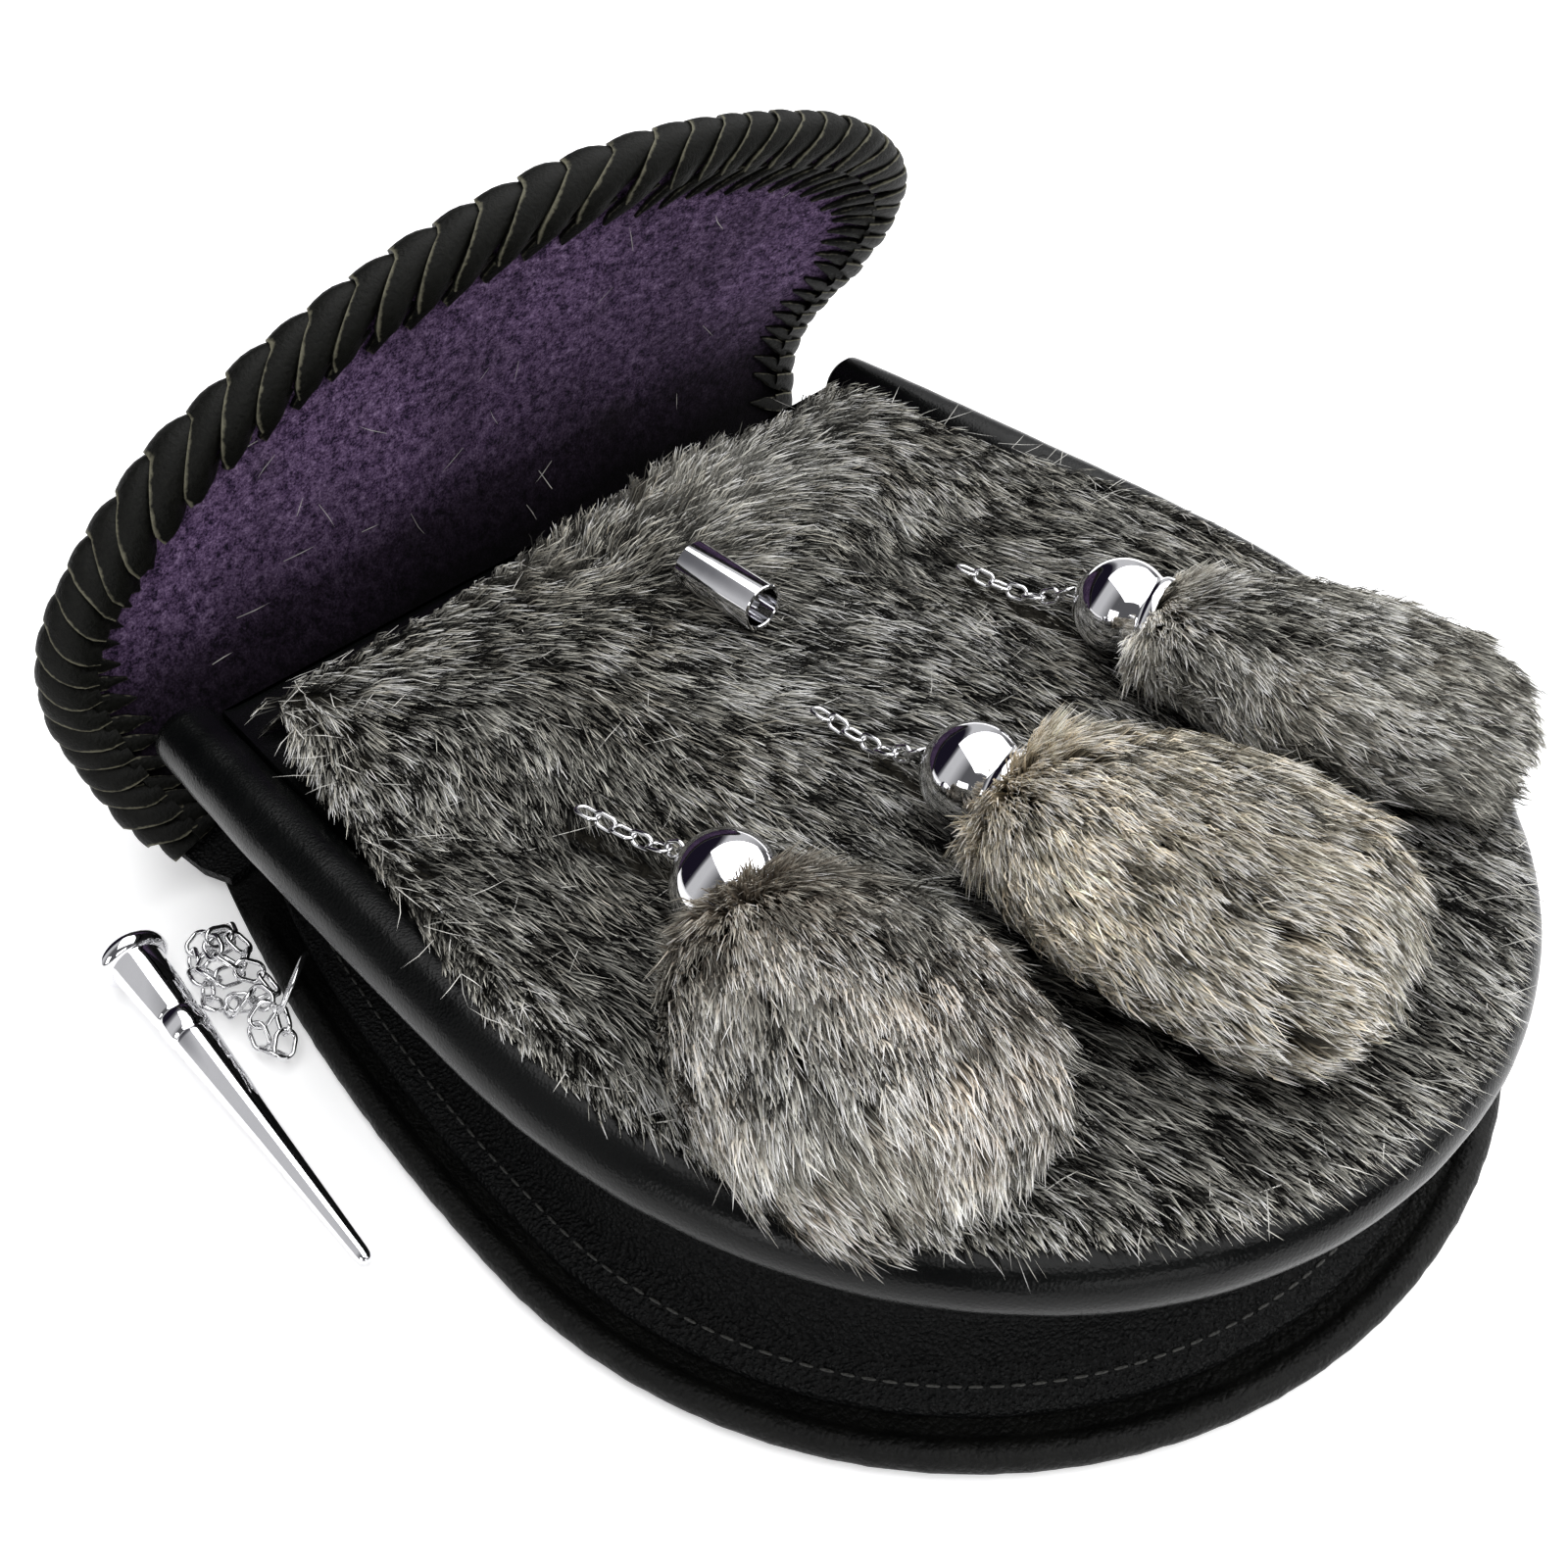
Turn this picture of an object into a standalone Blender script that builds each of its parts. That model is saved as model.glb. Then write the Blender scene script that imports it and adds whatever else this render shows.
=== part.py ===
"""A fur sporran lying on its back with its flap open: a leather pouch with a pelt front, three tassels
on chains, a closure tube, and the closure pin with its chain beside it. Metres, +Z up, the back panel's
underside on Z = 0 and its middle at the origin. +Y is towards the mouth of the pouch, and a distance
"down" is measured from the mouth towards the bottom."""

import math
import random

import bmesh
import bpy
from mathutils import Euler, Matrix, Vector

MM = 0.001
GAP = 0.3 * MM
MOUTH_Y = 95.0 * MM
SEED = 7

# Front rim: a padded roll along its outline. The outline has its half width at the mouth, its widest
# half width, how far down that is, its length, and the power of its rounded bottom.
RIM_MOUTH = 85.7 * MM
RIM_HALF = 88.3 * MM
RIM_WIDEST_DOWN = 93.2 * MM
RIM_LENGTH = 194.7 * MM
RIM_POWER = 2.09
RIM_RADIUS = 6.4 * MM
RIM_HEIGHT = 36.4 * MM
RIM_SIDES = 10
RIM_STATIONS = 38

# Back panel: how much wider and longer it is than the rim, and its rolled edge
FLARE_MOUTH = 3.7 * MM
FLARE_HALF = 14.5 * MM
FLARE_WIDEST_DOWN = 10.6 * MM
FLARE_LENGTH = 10.9 * MM
BACK_POWER = 2.03
PANEL_THICK = 3.0 * MM
ROLL_RADIUS = 2.4 * MM
ROLL_PROFILE = (
    # inset from the outline and height, both as shares of the roll's radius
    (1.08, 0.0),
    (0.29, 0.29),
    (0.0, 1.0),
    (0.29, 1.71),
    (1.0, 2.0),
    (1.75, 1.71),
)
ROLL_INNER = 2.17
PANEL_STATIONS = 38
ROLL_FROM = 12.6 * MM
ROLL_REACH = 12.0 * MM

# Gusset: a foot sewn on the back panel and a wall that tucks in under the rim
SEAM_GROOVE = 2.2 * MM
FOOT_WIDTH = 9.0 * MM
GUSSET_THICK = 1.7 * MM
GUSSET_TOP_INSET = 2.4 * MM
GUSSET_TUCK = 4.5 * MM
GUSSET_WALL = (
    # share of the height, 0 on the foot's line or 1 on the rim's, share of the tuck
    (0.125, 0, 0.0),
    (0.48, 1, 1.0),
    (0.78, 1, 0.53),
    (1.0, 1, 0.0),
)
GUSSET_STATIONS = 34
GUSSET_SLANT = 10.0 * MM
SLANT_REACH = 40.0 * MM

# Leather front inside the rim
FRONT_THICK = 2.0 * MM
FRONT_RISE = 1.0 * MM

# Pelt on the front, which bulges over the inner side of the rim
FUR_LIP = 1.7 * MM
FUR_LAYERS = (
    # inset behind the pelt's edge as a share of the rim's radius, share of the way up to the rim's top,
    # share of the lip above it
    (1.17, 0.0, 0.0),
    (0.94, 0.43, 0.0),
    (0.69, 0.85, 0.0),
    (0.25, 1.0, 0.0),
    (0.0, 1.0, 0.35),
    (0.31, 1.0, 0.65),
    (1.25, 1.0, 0.82),
)
FUR_INNER = (
    # share of the last layer's size, share of the lip
    (0.7, 0.9),
    (0.35, 1.0),
)
FUR_FROM_MOUTH = 9.0 * MM
FUR_EDGE_INSET = 1.2 * MM
FUR_MOUTH_INSET = 16.0 * MM
FUR_STRAIGHT = 92.0 * MM
FUR_STATIONS = 38
FUR_TOP_STATIONS = 12
LOCK_DEPTH = 0.8 * MM

# Flap: it folds up behind the mouth, a little askew, bends and leans forward. Its twist and its skew
# are what its side edges have more or less of than its middle.
FOLD_Y = 14.0 * MM
FOLD_SKEW = 0.121
FLAP_LAP = 8.0 * MM
FLAP_LAP_HALF = 90.4 * MM
FLAP_START_DEG = 30.0
FLAP_LEAN_DEG = 112.0
FLAP_TWIST_DEG = 14.8
FLAP_BEND_AT = 26.1 * MM
FLAP_BEND_SOFT = 12.0 * MM
FLAP_NECK = 93.4 * MM
FLAP_HALF = 99.0 * MM
FLAP_WIDEST_AT = 52.9 * MM
FLAP_LENGTH = 103.0 * MM
FLAP_POWER = 2.38
FLAP_SKEW = 0.266
FLAP_CUP_LEFT = 4.4 * MM
FLAP_CUP_RIGHT = 19.8 * MM
FLAP_CUP_REACH = 60.0 * MM
FLAP_LEATHER = 2.0 * MM
LINING_THICK = 1.2 * MM
LINING_CLEAR = 0.6 * MM
LAP_ROWS = (-1.0, -0.2)
LINING_ROWS = (0.058, 0.1, 0.15, 0.21, 0.27, 0.34, 0.43, 0.53, 0.64, 0.75, 0.84, 0.91, 0.955)
FLAP_END_ROW = 0.988
FLAP_COLUMNS = 11
FLAP_INSET = 0.8 * MM
LINING_INSET = 3.2 * MM

# Lacing round the flap's edge: a channel that clears leather and lining, with walls of laces
LACING_DEPTH = 9.5 * MM
LACING_OUT = 2.2 * MM
LACING_WALL = 1.4 * MM
LACING_CHANNEL = 1.0 * MM
LACING_PROFILE = (
    # across: below 0 as a share of the depth, above 0 of the outer reach. The side: 1 lining, -1 leather.
    # The wall's share outside the channel.
    (-1.0, 1, 0.0),
    (-1.0, 1, 1.0),
    (-0.26, 1, 1.53),
    (1.0, 1, -0.1),
    (1.0, -1, -0.25),
    (-0.26, -1, 1.53),
    (-0.95, -1, 0.87),
    (-0.95, -1, 0.0),
    (0.2, -1, 0.0),
    (0.2, 1, 0.0),
)
LACING_OUTER = range(2, 6)
LACING_STATIONS = 55
LACING_SWELL = 0.9 * MM
LACING_FROM = 9.0 * MM

# Closure tube and its hidden post
TUBE_RADIUS = 4.6 * MM
TUBE_BORE = 3.7 * MM
TUBE_LENGTH = 19.0 * MM
TUBE_DOWN = 40.3 * MM
TUBE_CLEAR = 0.6 * MM
TUBE_SIDES = 22
POST_RADIUS = 2.0 * MM
POST_SIDES = 12

# Closure pin, lying on the floor beside the pouch. It and its chain keep their distance from the back
# panel's edge, taken where the chain's heap leans on that edge.
PIN_LENGTH = 79.6 * MM
PIN_HEAD_RADIUS = 6.3 * MM
PIN_CLEAR = 14.25 * MM
PIN_DOWN = 8.2 * MM
PIN_BESIDE_DOWN = 42.0 * MM
PIN_TURN_DEG = -2.2
PIN_PROFILE = (
    # distance from the head's top as a share of the length, radius as a share of the head's
    (0.0, 0.0),
    (0.0025, 0.51),
    (0.0125, 0.86),
    (0.028, 1.0),
    (0.043, 0.98),
    (0.053, 0.84),
    (0.055, 0.78),
    (0.239, 0.62),
    (0.244, 0.56),
    (0.249, 0.61),
    (0.306, 0.587),
    (0.311, 0.53),
    (0.316, 0.58),
    (0.63, 0.39),
    (0.98, 0.214),
    (0.995, 0.143),
    (1.0, 0.0),
)
PIN_SIDES = 12

# Chains: pitch between links, wire thickness, width, and how far two touching wires are fused
TASSEL_PITCH = 3.7 * MM
TASSEL_WIRE = 0.8 * MM
TASSEL_LINK_WIDTH = 3.4 * MM
PIN_PITCH = 4.3 * MM
PIN_WIRE = 0.95 * MM
PIN_LINK_WIDTH = 4.4 * MM
TASSEL_LINKS = {"pitch": TASSEL_PITCH, "wire": TASSEL_WIRE, "width": TASSEL_LINK_WIDTH}
PIN_LINKS = {"pitch": PIN_PITCH, "wire": PIN_WIRE, "width": PIN_LINK_WIDTH}
LINK_FUSE = 0.24 * MM
LINK_STEPS = 10
LINK_SIDES = 5
PIN_CHAIN_PATH = (
    # distance out from the back panel's edge, down and height, each as a share of the pitch
    (2.256, 6.977, 1.209),
    (1.849, 5.721, 0.744),
    (1.663, 4.279, 0.674),
    (1.151, 3.070, 0.698),
    (0.035, 2.977, 0.884),
    (-0.384, 4.047, 1.442),
    (0.686, 4.837, 1.674),
    (1.012, 6.093, 1.209),
    (0.128, 6.651, 1.163),
    (0.128, 7.581, 1.535),
    (1.291, 8.047, 1.256),
    (1.849, 9.023, 0.698),
    (1.477, 10.419, 0.628),
    (0.919, 11.070, 0.744),
    (0.733, 9.860, 1.209),
    (0.151, 8.605, 1.860),
)
RING_ACROSS = (0.744, 0.174, 0.65)
RING_DEPTH = (-0.502, -0.497, 0.708)
RING_RADIUS = 5.4 * MM
RING_WIRE = 1.0 * MM
RING_STEPS = 14

# Tassel caps: turned cups with their hollow towards the tassel
CAP_RADIUS = 8.7 * MM
CAP_WALL = 1.0 * MM
CAP_HOLE = 1.4 * MM
CAP_OUTSIDE = (
    # distance from the cap's middle towards the tassel, and radius, as shares of the cap's radius
    (-1.0, None),
    (-0.85, 0.56),
    (-0.48, 0.87),
    (0.0, 1.0),
    (0.41, 0.91),
    (0.62, 0.84),
    (0.71, 0.91),
    (0.85, 0.91),
)
CAP_INSIDE = (
    (0.85, 0.92),
    (0.6, 0.85),
    (0.0, 1.0),
    (-0.76, 0.61),
)
CAP_SIDES = 12

# Tassels: where each cap's middle and its chain's anchor are, and the way the tassel points, in degrees
TASSEL_HALF = 25.0 * MM
TASSEL_HALF_THICK = 10.6 * MM
TASSEL_LENGTH = 57.5 * MM
TASSELS = (
    # side, cap x as a share of the rim's half width, cap down as a share of its length, turn off straight
    # down, tip up, shares of the width, thickness and length, anchor x and anchor down as those of the cap
    ("left", -0.5957, 0.5393, -14.0, 1.0, 0.97, 1.0, 0.852, -0.6172, 0.357),
    ("centre", -0.1065, 0.5958, 7.0, 1.0, 1.05, 1.0, 1.0, -0.1189, 0.4109),
    ("right", 0.4757, 0.5516, 12.0, 1.0, 0.86, 0.86, 1.035, 0.4281, 0.3698),
)
TASSEL_TABLE = (
    # share of the length past the cap, share of the half width, share of the half thickness
    (0.04, 0.48, 0.77),
    (0.14, 0.76, 0.89),
    (0.32, 0.94, 0.97),
    (0.54, 1.0, 1.0),
    (0.77, 0.98, 0.92),
    (0.92, 0.8, 0.72),
    (0.99, 0.52, 0.43),
)
TASSEL_ROOT = 4.0 * MM
ROOT_PLAY = 0.5 * MM
TASSEL_SIDES = 18
LOCK_WIDE = 1.04
LOCK_NARROW = 0.95

COLOURS = {
    "black_leather": (0.012, 0.012, 0.013, 0.42, 0.0),
    "lacing_leather": (0.018, 0.017, 0.014, 0.5, 0.0),
    "purple_suede": (0.075, 0.04, 0.1, 0.95, 0.0),
    "grey_fur": (0.2, 0.19, 0.17, 0.85, 0.0),
    "brown_fur": (0.22, 0.18, 0.14, 0.85, 0.0),
    "tan_fur": (0.36, 0.3, 0.23, 0.85, 0.0),
    "dark_fur": (0.14, 0.12, 0.1, 0.85, 0.0),
    "chrome": (0.8, 0.8, 0.82, 0.08, 1.0),
    "steel_chain": (0.6, 0.6, 0.61, 0.2, 1.0),
}

# Sizes that follow from those above
BACK_HALF = RIM_HALF + FLARE_HALF
RIM_OUTLINE = (RIM_MOUTH, RIM_HALF, RIM_WIDEST_DOWN, RIM_LENGTH, RIM_POWER)
BACK_OUTLINE = (
    RIM_MOUTH + FLARE_MOUTH,
    BACK_HALF,
    RIM_WIDEST_DOWN + FLARE_WIDEST_DOWN,
    RIM_LENGTH + FLARE_LENGTH,
    BACK_POWER,
)
RIM_TOP = RIM_HEIGHT + RIM_RADIUS
FRONT_TOP = RIM_HEIGHT + FRONT_RISE
FUR_BASE = FRONT_TOP + GAP
FUR_TOP = RIM_TOP + GAP + FUR_LIP
REST_ON_FUR = FUR_TOP + LOCK_DEPTH / 2
TUBE_HEIGHT = REST_ON_FUR + TUBE_CLEAR + TUBE_RADIUS
CAP_HEIGHT = REST_ON_FUR + CAP_RADIUS
CHAIN_HEIGHT = REST_ON_FUR + GAP + TASSEL_LINK_WIDTH / 2


def clear_scene():
    for obj in list(bpy.data.objects):
        bpy.data.objects.remove(obj, do_unlink=True)


def new_collection(name, hidden):
    collection = bpy.data.collections.new(name)
    bpy.context.scene.collection.children.link(collection)
    collection.hide_render = hidden
    return collection


def material(name):
    found = bpy.data.materials.get(name)
    if found:
        return found
    red, green, blue, roughness, metallic = COLOURS[name]
    made = bpy.data.materials.new(name)
    made.use_nodes = True
    made.diffuse_color = (red, green, blue, 1.0)
    shader = made.node_tree.nodes["Principled BSDF"]
    shader.inputs["Base Color"].default_value = (red, green, blue, 1.0)
    shader.inputs["Roughness"].default_value = roughness
    shader.inputs["Metallic"].default_value = metallic
    return made


def add_object(name, mesh, slot, smooth_deg=None):
    """The mesh as a part when it has a material slot, or else as a helper that isn't rendered."""
    obj = bpy.data.objects.new(name, mesh)
    if slot:
        mesh.materials.append(material(slot))
        PARTS.objects.link(obj)
    else:
        HELPERS.objects.link(obj)
        obj.hide_render = True
        obj.display_type = "WIRE"
    if smooth_deg:
        mesh.polygons.foreach_set("use_smooth", [True] * len(mesh.polygons))
        mesh.set_sharp_from_angle(angle=math.radians(smooth_deg))
    return obj


def mesh_from(name, points, faces):
    shape = bmesh.new()
    corners = [shape.verts.new(point) for point in points]
    for face in faces:
        shape.faces.new([corners[index] for index in face])
    bmesh.ops.recalc_face_normals(shape, faces=shape.faces)
    mesh = bpy.data.meshes.new(name)
    shape.to_mesh(mesh)
    shape.free()
    return mesh


def loft(name, rings, slot, smooth_deg=40.0):
    """A closed body through rings of as many points each, with a flat cap at either end."""
    sides = len(rings[0])
    points = [point for ring in rings for point in ring]
    faces = [tuple(range(sides)), tuple(range(len(points) - sides, len(points)))]
    for low in range(0, len(points) - sides, sides):
        for side in range(sides):
            after = (side + 1) % sides
            faces.append((low + side, low + after, low + sides + after, low + sides + side))
    return add_object(name, mesh_from(name, points, faces), slot, smooth_deg)


def boolean(obj, other, operation):
    modifier = obj.modifiers.new(f"{operation.lower()} {other.name}", "BOOLEAN")
    modifier.operation = operation
    modifier.solver = "EXACT"
    modifier.object = other


def mouth_point(x, down, height):
    """A place given by its distance down from the mouth."""
    return Vector((x, MOUTH_Y - down, height))


def even_steps(fine, count):
    """As many points at equal steps along a finely drawn line."""
    lengths = [0.0]
    for before, after in zip(fine, fine[1:]):
        lengths.append(lengths[-1] + math.dist(before, after))
    found = []
    index = 0
    for step in range(count):
        want = lengths[-1] * step / (count - 1)
        while index < len(fine) - 2 and lengths[index + 1] < want:
            index += 1
        part = (want - lengths[index]) / max(lengths[index + 1] - lengths[index], 1e-9)
        part = min(max(part, 0.0), 1.0)
        found.append(tuple(a + (b - a) * part for a, b in zip(fine[index], fine[index + 1])))
    return found


def outline_points(outline, count):
    """Evenly spaced (x, down) from the right end of the mouth, round the bottom, to its left end."""
    mouth, half, widest_down, length, power = outline
    fine = []
    for step in range(60):
        part = step / 60
        fine.append((mouth + (half - mouth) * (1 - (1 - part) ** 2), widest_down * part))
    for step in range(121):
        angle = math.pi / 2 * step / 120
        side = half * math.cos(angle) ** (2 / power) if step < 120 else 0.0
        fine.append((side, widest_down + (length - widest_down) * math.sin(angle) ** (2 / power)))
    fine += [(-x, down) for x, down in reversed(fine[:-1])]
    return even_steps(fine, count)


def outward_normals(points):
    """Unit normals of an outline that runs clockwise from the right end of the mouth, level at its ends."""
    normals = []
    for index, point in enumerate(points):
        before = points[max(index - 1, 0)]
        after = points[min(index + 1, len(points) - 1)]
        run = Vector((after[0] - before[0], after[1] - before[1])).normalized()
        ease = min(point[1] / SLANT_REACH, 1.0)
        normals.append(Vector((run.y, -run.x * ease)))
    return normals


def inset_outline(outline, count, inset):
    """The outline moved inwards. An inset that is a function gets the distance down."""
    points = outline_points(outline, count)
    moved = []
    for point, normal in zip(points, outward_normals(points)):
        amount = inset(point[1]) if callable(inset) else inset
        moved.append((point[0] - normal.x * amount, point[1] - normal.y * amount))
    return moved


def fold_down(x):
    """How far down the flap's fold is at this side. It is behind the mouth, so it is below 0."""
    return -(FOLD_Y + FOLD_SKEW * x)


def build_back_panel():
    profile = [(inset * ROLL_RADIUS, height * ROLL_RADIUS) for inset, height in ROLL_PROFILE]
    profile.append((ROLL_INNER * ROLL_RADIUS, PANEL_THICK))
    rings = []
    for inset, height in profile:
        around = inset_outline(BACK_OUTLINE, PANEL_STATIONS, inset)
        right, left = around[0][0], around[-1][0]
        top = [(x, fold_down(x) + inset) for x in (left, left / 2, 0.0, right / 2, right)]
        ring = []
        for x, down in around + top:
            roll = min(max((down - ROLL_FROM) / ROLL_REACH, 0.0), 1.0)
            flat = min(height, PANEL_THICK)
            ring.append(mouth_point(x, down, flat + (height - flat) * roll))
        rings.append(ring)
    loft("back_panel", rings, "black_leather")


def gusset_profile():
    """The gusset's closed section, as (on the rim's line or the foot's, inset from it, height)."""
    low = PANEL_THICK + GAP
    top = RIM_HEIGHT - RIM_RADIUS - GAP
    edge = ROLL_INNER * ROLL_RADIUS + SEAM_GROOVE
    heel = edge + FOOT_WIDTH
    outside = [
        (0, edge, low),
        (0, edge, low + 0.85 * GUSSET_THICK),
        (0, heel - GUSSET_THICK, low + GUSSET_THICK),
    ]
    inside = []
    for share, on_rim, tuck in GUSSET_WALL:
        height = low + (top - low) * share
        inset = GUSSET_TOP_INSET + GUSSET_TUCK * tuck if on_rim else heel
        outside.append((on_rim, inset, height))
        inside.append((on_rim, inset + GUSSET_THICK, height))
    return outside + inside[::-1] + [(0, heel + GUSSET_THICK, low)]


def build_gusset():
    sections = []
    for outline in (BACK_OUTLINE, RIM_OUTLINE):
        points = outline_points(outline, GUSSET_STATIONS)
        sections.append(list(zip(points, outward_normals(points))))
    profile = gusset_profile()
    top = max(height for _, _, height in profile)
    rings = []
    for station in range(GUSSET_STATIONS):
        ring = []
        for on_rim, inset, height in profile:
            point, normal = sections[on_rim][station]
            x = point[0] - normal.x * inset
            down = point[1] - normal.y * inset
            ease = max(0.0, 1.0 - down / SLANT_REACH) ** 2
            down += GUSSET_SLANT * ease * (1.0 - height / top)
            ring.append(mouth_point(x, down, height))
        rings.append(ring)
    loft("gusset", rings, "black_leather")


def build_front_rim():
    points = outline_points(RIM_OUTLINE, RIM_STATIONS)
    rings = []
    for point, normal in zip(points, outward_normals(points)):
        ring = []
        for side in range(RIM_SIDES):
            angle = math.tau * (side + 0.5) / RIM_SIDES
            out = RIM_RADIUS * math.cos(angle)
            height = RIM_HEIGHT + RIM_RADIUS * math.sin(angle)
            ring.append(mouth_point(point[0] + normal.x * out, point[1] + normal.y * out, height))
        rings.append(ring)
    loft("front_rim", rings, "black_leather", 60.0)


def build_front_panel():
    around = inset_outline(RIM_OUTLINE, RIM_STATIONS, RIM_RADIUS + GAP)
    rings = []
    for height in (FRONT_TOP - FRONT_THICK, FRONT_TOP):
        rings.append([mouth_point(x, down, height) for x, down in around])
    loft("front_panel", rings, "black_leather")


def fur_inset(down):
    """The pelt leaves a wide strip of leather beside it near the mouth and reaches the rim further down."""
    return FUR_EDGE_INSET + (FUR_MOUTH_INSET - FUR_EDGE_INSET) * max(0.0, 1.0 - down / FUR_STRAIGHT) ** 1.3


def fur_ring(extra, height, chance):
    """One layer of the pelt: round its sides and bottom, then back along its straight top edge."""
    top_down = FUR_FROM_MOUTH + extra
    sides = inset_outline(RIM_OUTLINE, FUR_STATIONS, lambda down: fur_inset(down) + extra)
    kept = [point for point in sides if point[1] > top_down + RIM_RADIUS / 4]
    right, left = kept[0][0], kept[-1][0]
    ring = even_steps(kept, FUR_STATIONS - 4)
    for step in range(FUR_TOP_STATIONS):
        ring.append((left + (right - left) * step / (FUR_TOP_STATIONS - 1), top_down))
    return [lock_jitter(mouth_point(x, down, height), index, chance) for index, (x, down) in enumerate(ring)]


def lock_jitter(point, index, chance):
    """Every other point stands out, as the tips of locks do."""
    if chance is None:
        return point
    swell = LOCK_DEPTH * (0.5 if index % 2 else -0.5)
    aside = LOCK_DEPTH / 2
    return point + Vector((chance.uniform(-aside, aside), chance.uniform(-aside, aside), swell))


def build_fur_front():
    chance = random.Random(SEED)
    rings = []
    for inset, up, over in FUR_LAYERS:
        height = FUR_BASE + (RIM_TOP + GAP - FUR_BASE) * up + FUR_LIP * over
        on_top = over > FUR_LAYERS[4][2]
        rings.append(fur_ring(inset * RIM_RADIUS, height, chance if on_top else None))
    last = rings[-1]
    middle = sum(last, Vector()) / len(last)
    for number, (share, over) in enumerate(FUR_INNER):
        ring = []
        for index, point in enumerate(last):
            place = middle.lerp(point, share)
            place.z = RIM_TOP + GAP + FUR_LIP * over
            ring.append(lock_jitter(place, index + number, chance))
        rings.append(ring)
    fur = loft("fur_front", rings, "grey_fur", 60.0)
    hole = cylinder("post_hole", POST_RADIUS + 2 * GAP, FRONT_TOP, TUBE_HEIGHT, POST_SIDES)
    boolean(fur, hole, "DIFFERENCE")


def cylinder(name, radius, low, high, sides, slot=None):
    """An upright cylinder where the closure tube's middle is."""
    shape = bmesh.new()
    bmesh.ops.create_cone(
        shape, cap_ends=True, segments=sides, radius1=radius, radius2=radius, depth=high - low
    )
    mesh = bpy.data.meshes.new(name)
    shape.to_mesh(mesh)
    shape.free()
    obj = add_object(name, mesh, slot, 40.0)
    obj.location = mouth_point(0.0, TUBE_DOWN + TUBE_LENGTH / 2, (low + high) / 2)
    return obj


def build_closure_tube():
    low, high = TUBE_HEIGHT - TUBE_LENGTH / 2, TUBE_HEIGHT + TUBE_LENGTH / 2
    tube = cylinder("closure_tube", TUBE_RADIUS, low, high, TUBE_SIDES, "chrome")
    tube.rotation_euler = (math.radians(90), 0, 0)
    post_top = TUBE_HEIGHT - (TUBE_RADIUS + TUBE_BORE) / 2
    post = cylinder("tube_post", POST_RADIUS, FRONT_TOP + GAP, post_top, POST_SIDES)
    bore = cylinder("tube_bore", TUBE_BORE, low - TUBE_LENGTH, high + TUBE_LENGTH, TUBE_SIDES)
    bore.rotation_euler = tube.rotation_euler
    boolean(tube, post, "UNION")
    boolean(tube, bore, "DIFFERENCE")


def turned(name, profile, closed, sides, slot):
    """A round piece about its own Z, from (distance down Z, radius) down its outer side."""
    mesh = bpy.data.meshes.new(name)
    points = [(radius, 0.0, -along) for along, radius in profile]
    edges = [(index, index + 1) for index in range(len(points) - 1)]
    if closed:
        edges.append((len(points) - 1, 0))
    mesh.from_pydata(points, edges, [])
    obj = add_object(name, mesh, slot)
    screw = obj.modifiers.new("turn", "SCREW")
    screw.axis = "Z"
    screw.steps = sides
    screw.render_steps = sides
    screw.use_merge_vertices = True
    screw.merge_threshold = 0.00001
    screw.use_smooth_shade = True
    return obj


def aim(obj, start, end):
    """Puts the piece at start with its own -Z pointing to end."""
    obj.location = start
    obj.rotation_euler = (end - start).to_track_quat("-Z", "Y").to_euler()


def beside_panel():
    """The x of the back panel's left edge where the pin's chain leans on it."""
    mouth, half, widest_down, _, _ = BACK_OUTLINE
    left = max(0.0, 1.0 - PIN_BESIDE_DOWN / widest_down)
    return -(mouth + (half - mouth) * (1.0 - left**2))


def build_pin():
    """The pin rests on its head's rim and its tip, a hair above the floor."""
    profile = [(along * PIN_LENGTH, radius * PIN_HEAD_RADIUS) for along, radius in PIN_PROFILE]
    pin = turned("closure_pin", profile, False, PIN_SIDES, "chrome")
    head = mouth_point(beside_panel() - PIN_CLEAR, PIN_DOWN, PIN_HEAD_RADIUS + GAP)
    drop = PIN_HEAD_RADIUS - 0.214 * PIN_HEAD_RADIUS
    turn = math.radians(PIN_TURN_DEG)
    reach = math.sqrt(PIN_LENGTH**2 - drop**2)
    aim(pin, head, head + Vector((reach * math.sin(turn), -reach * math.cos(turn), -drop)))


def flap_middle(u, v):
    """The flap's own surface between leather and lining. u is across, v is along it from the fold."""
    aside = u / FLAP_HALF
    bent = v * (1.0 + FLAP_SKEW * aside) if v > 0 else v
    y = MOUTH_Y - fold_down(u)
    z = PANEL_THICK + GAP + FLAP_LEATHER
    if bent <= 0:
        return Vector((u, y + bent, z))
    lean = FLAP_LEAN_DEG + FLAP_TWIST_DEG * aside
    steps = 16
    for step in range(steps):
        along = (step + 0.5) / steps * bent
        mix = 1.0 / (1.0 + math.exp(-(along - FLAP_BEND_AT) / FLAP_BEND_SOFT))
        angle = math.radians(FLAP_START_DEG + (lean - FLAP_START_DEG) * mix)
        y += math.cos(angle) * bent / steps
        z += math.sin(angle) * bent / steps
    cup = FLAP_CUP_LEFT if u < 0 else FLAP_CUP_RIGHT
    y -= cup * aside**2 * min(bent / FLAP_CUP_REACH, 1.0)
    return Vector((u, y, z))


def flap_normal(u, v):
    step = 0.5 * MM
    along = flap_middle(u, v + step) - flap_middle(u, v - step)
    across = flap_middle(u + step, v) - flap_middle(u - step, v)
    return across.cross(along).normalized()


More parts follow.
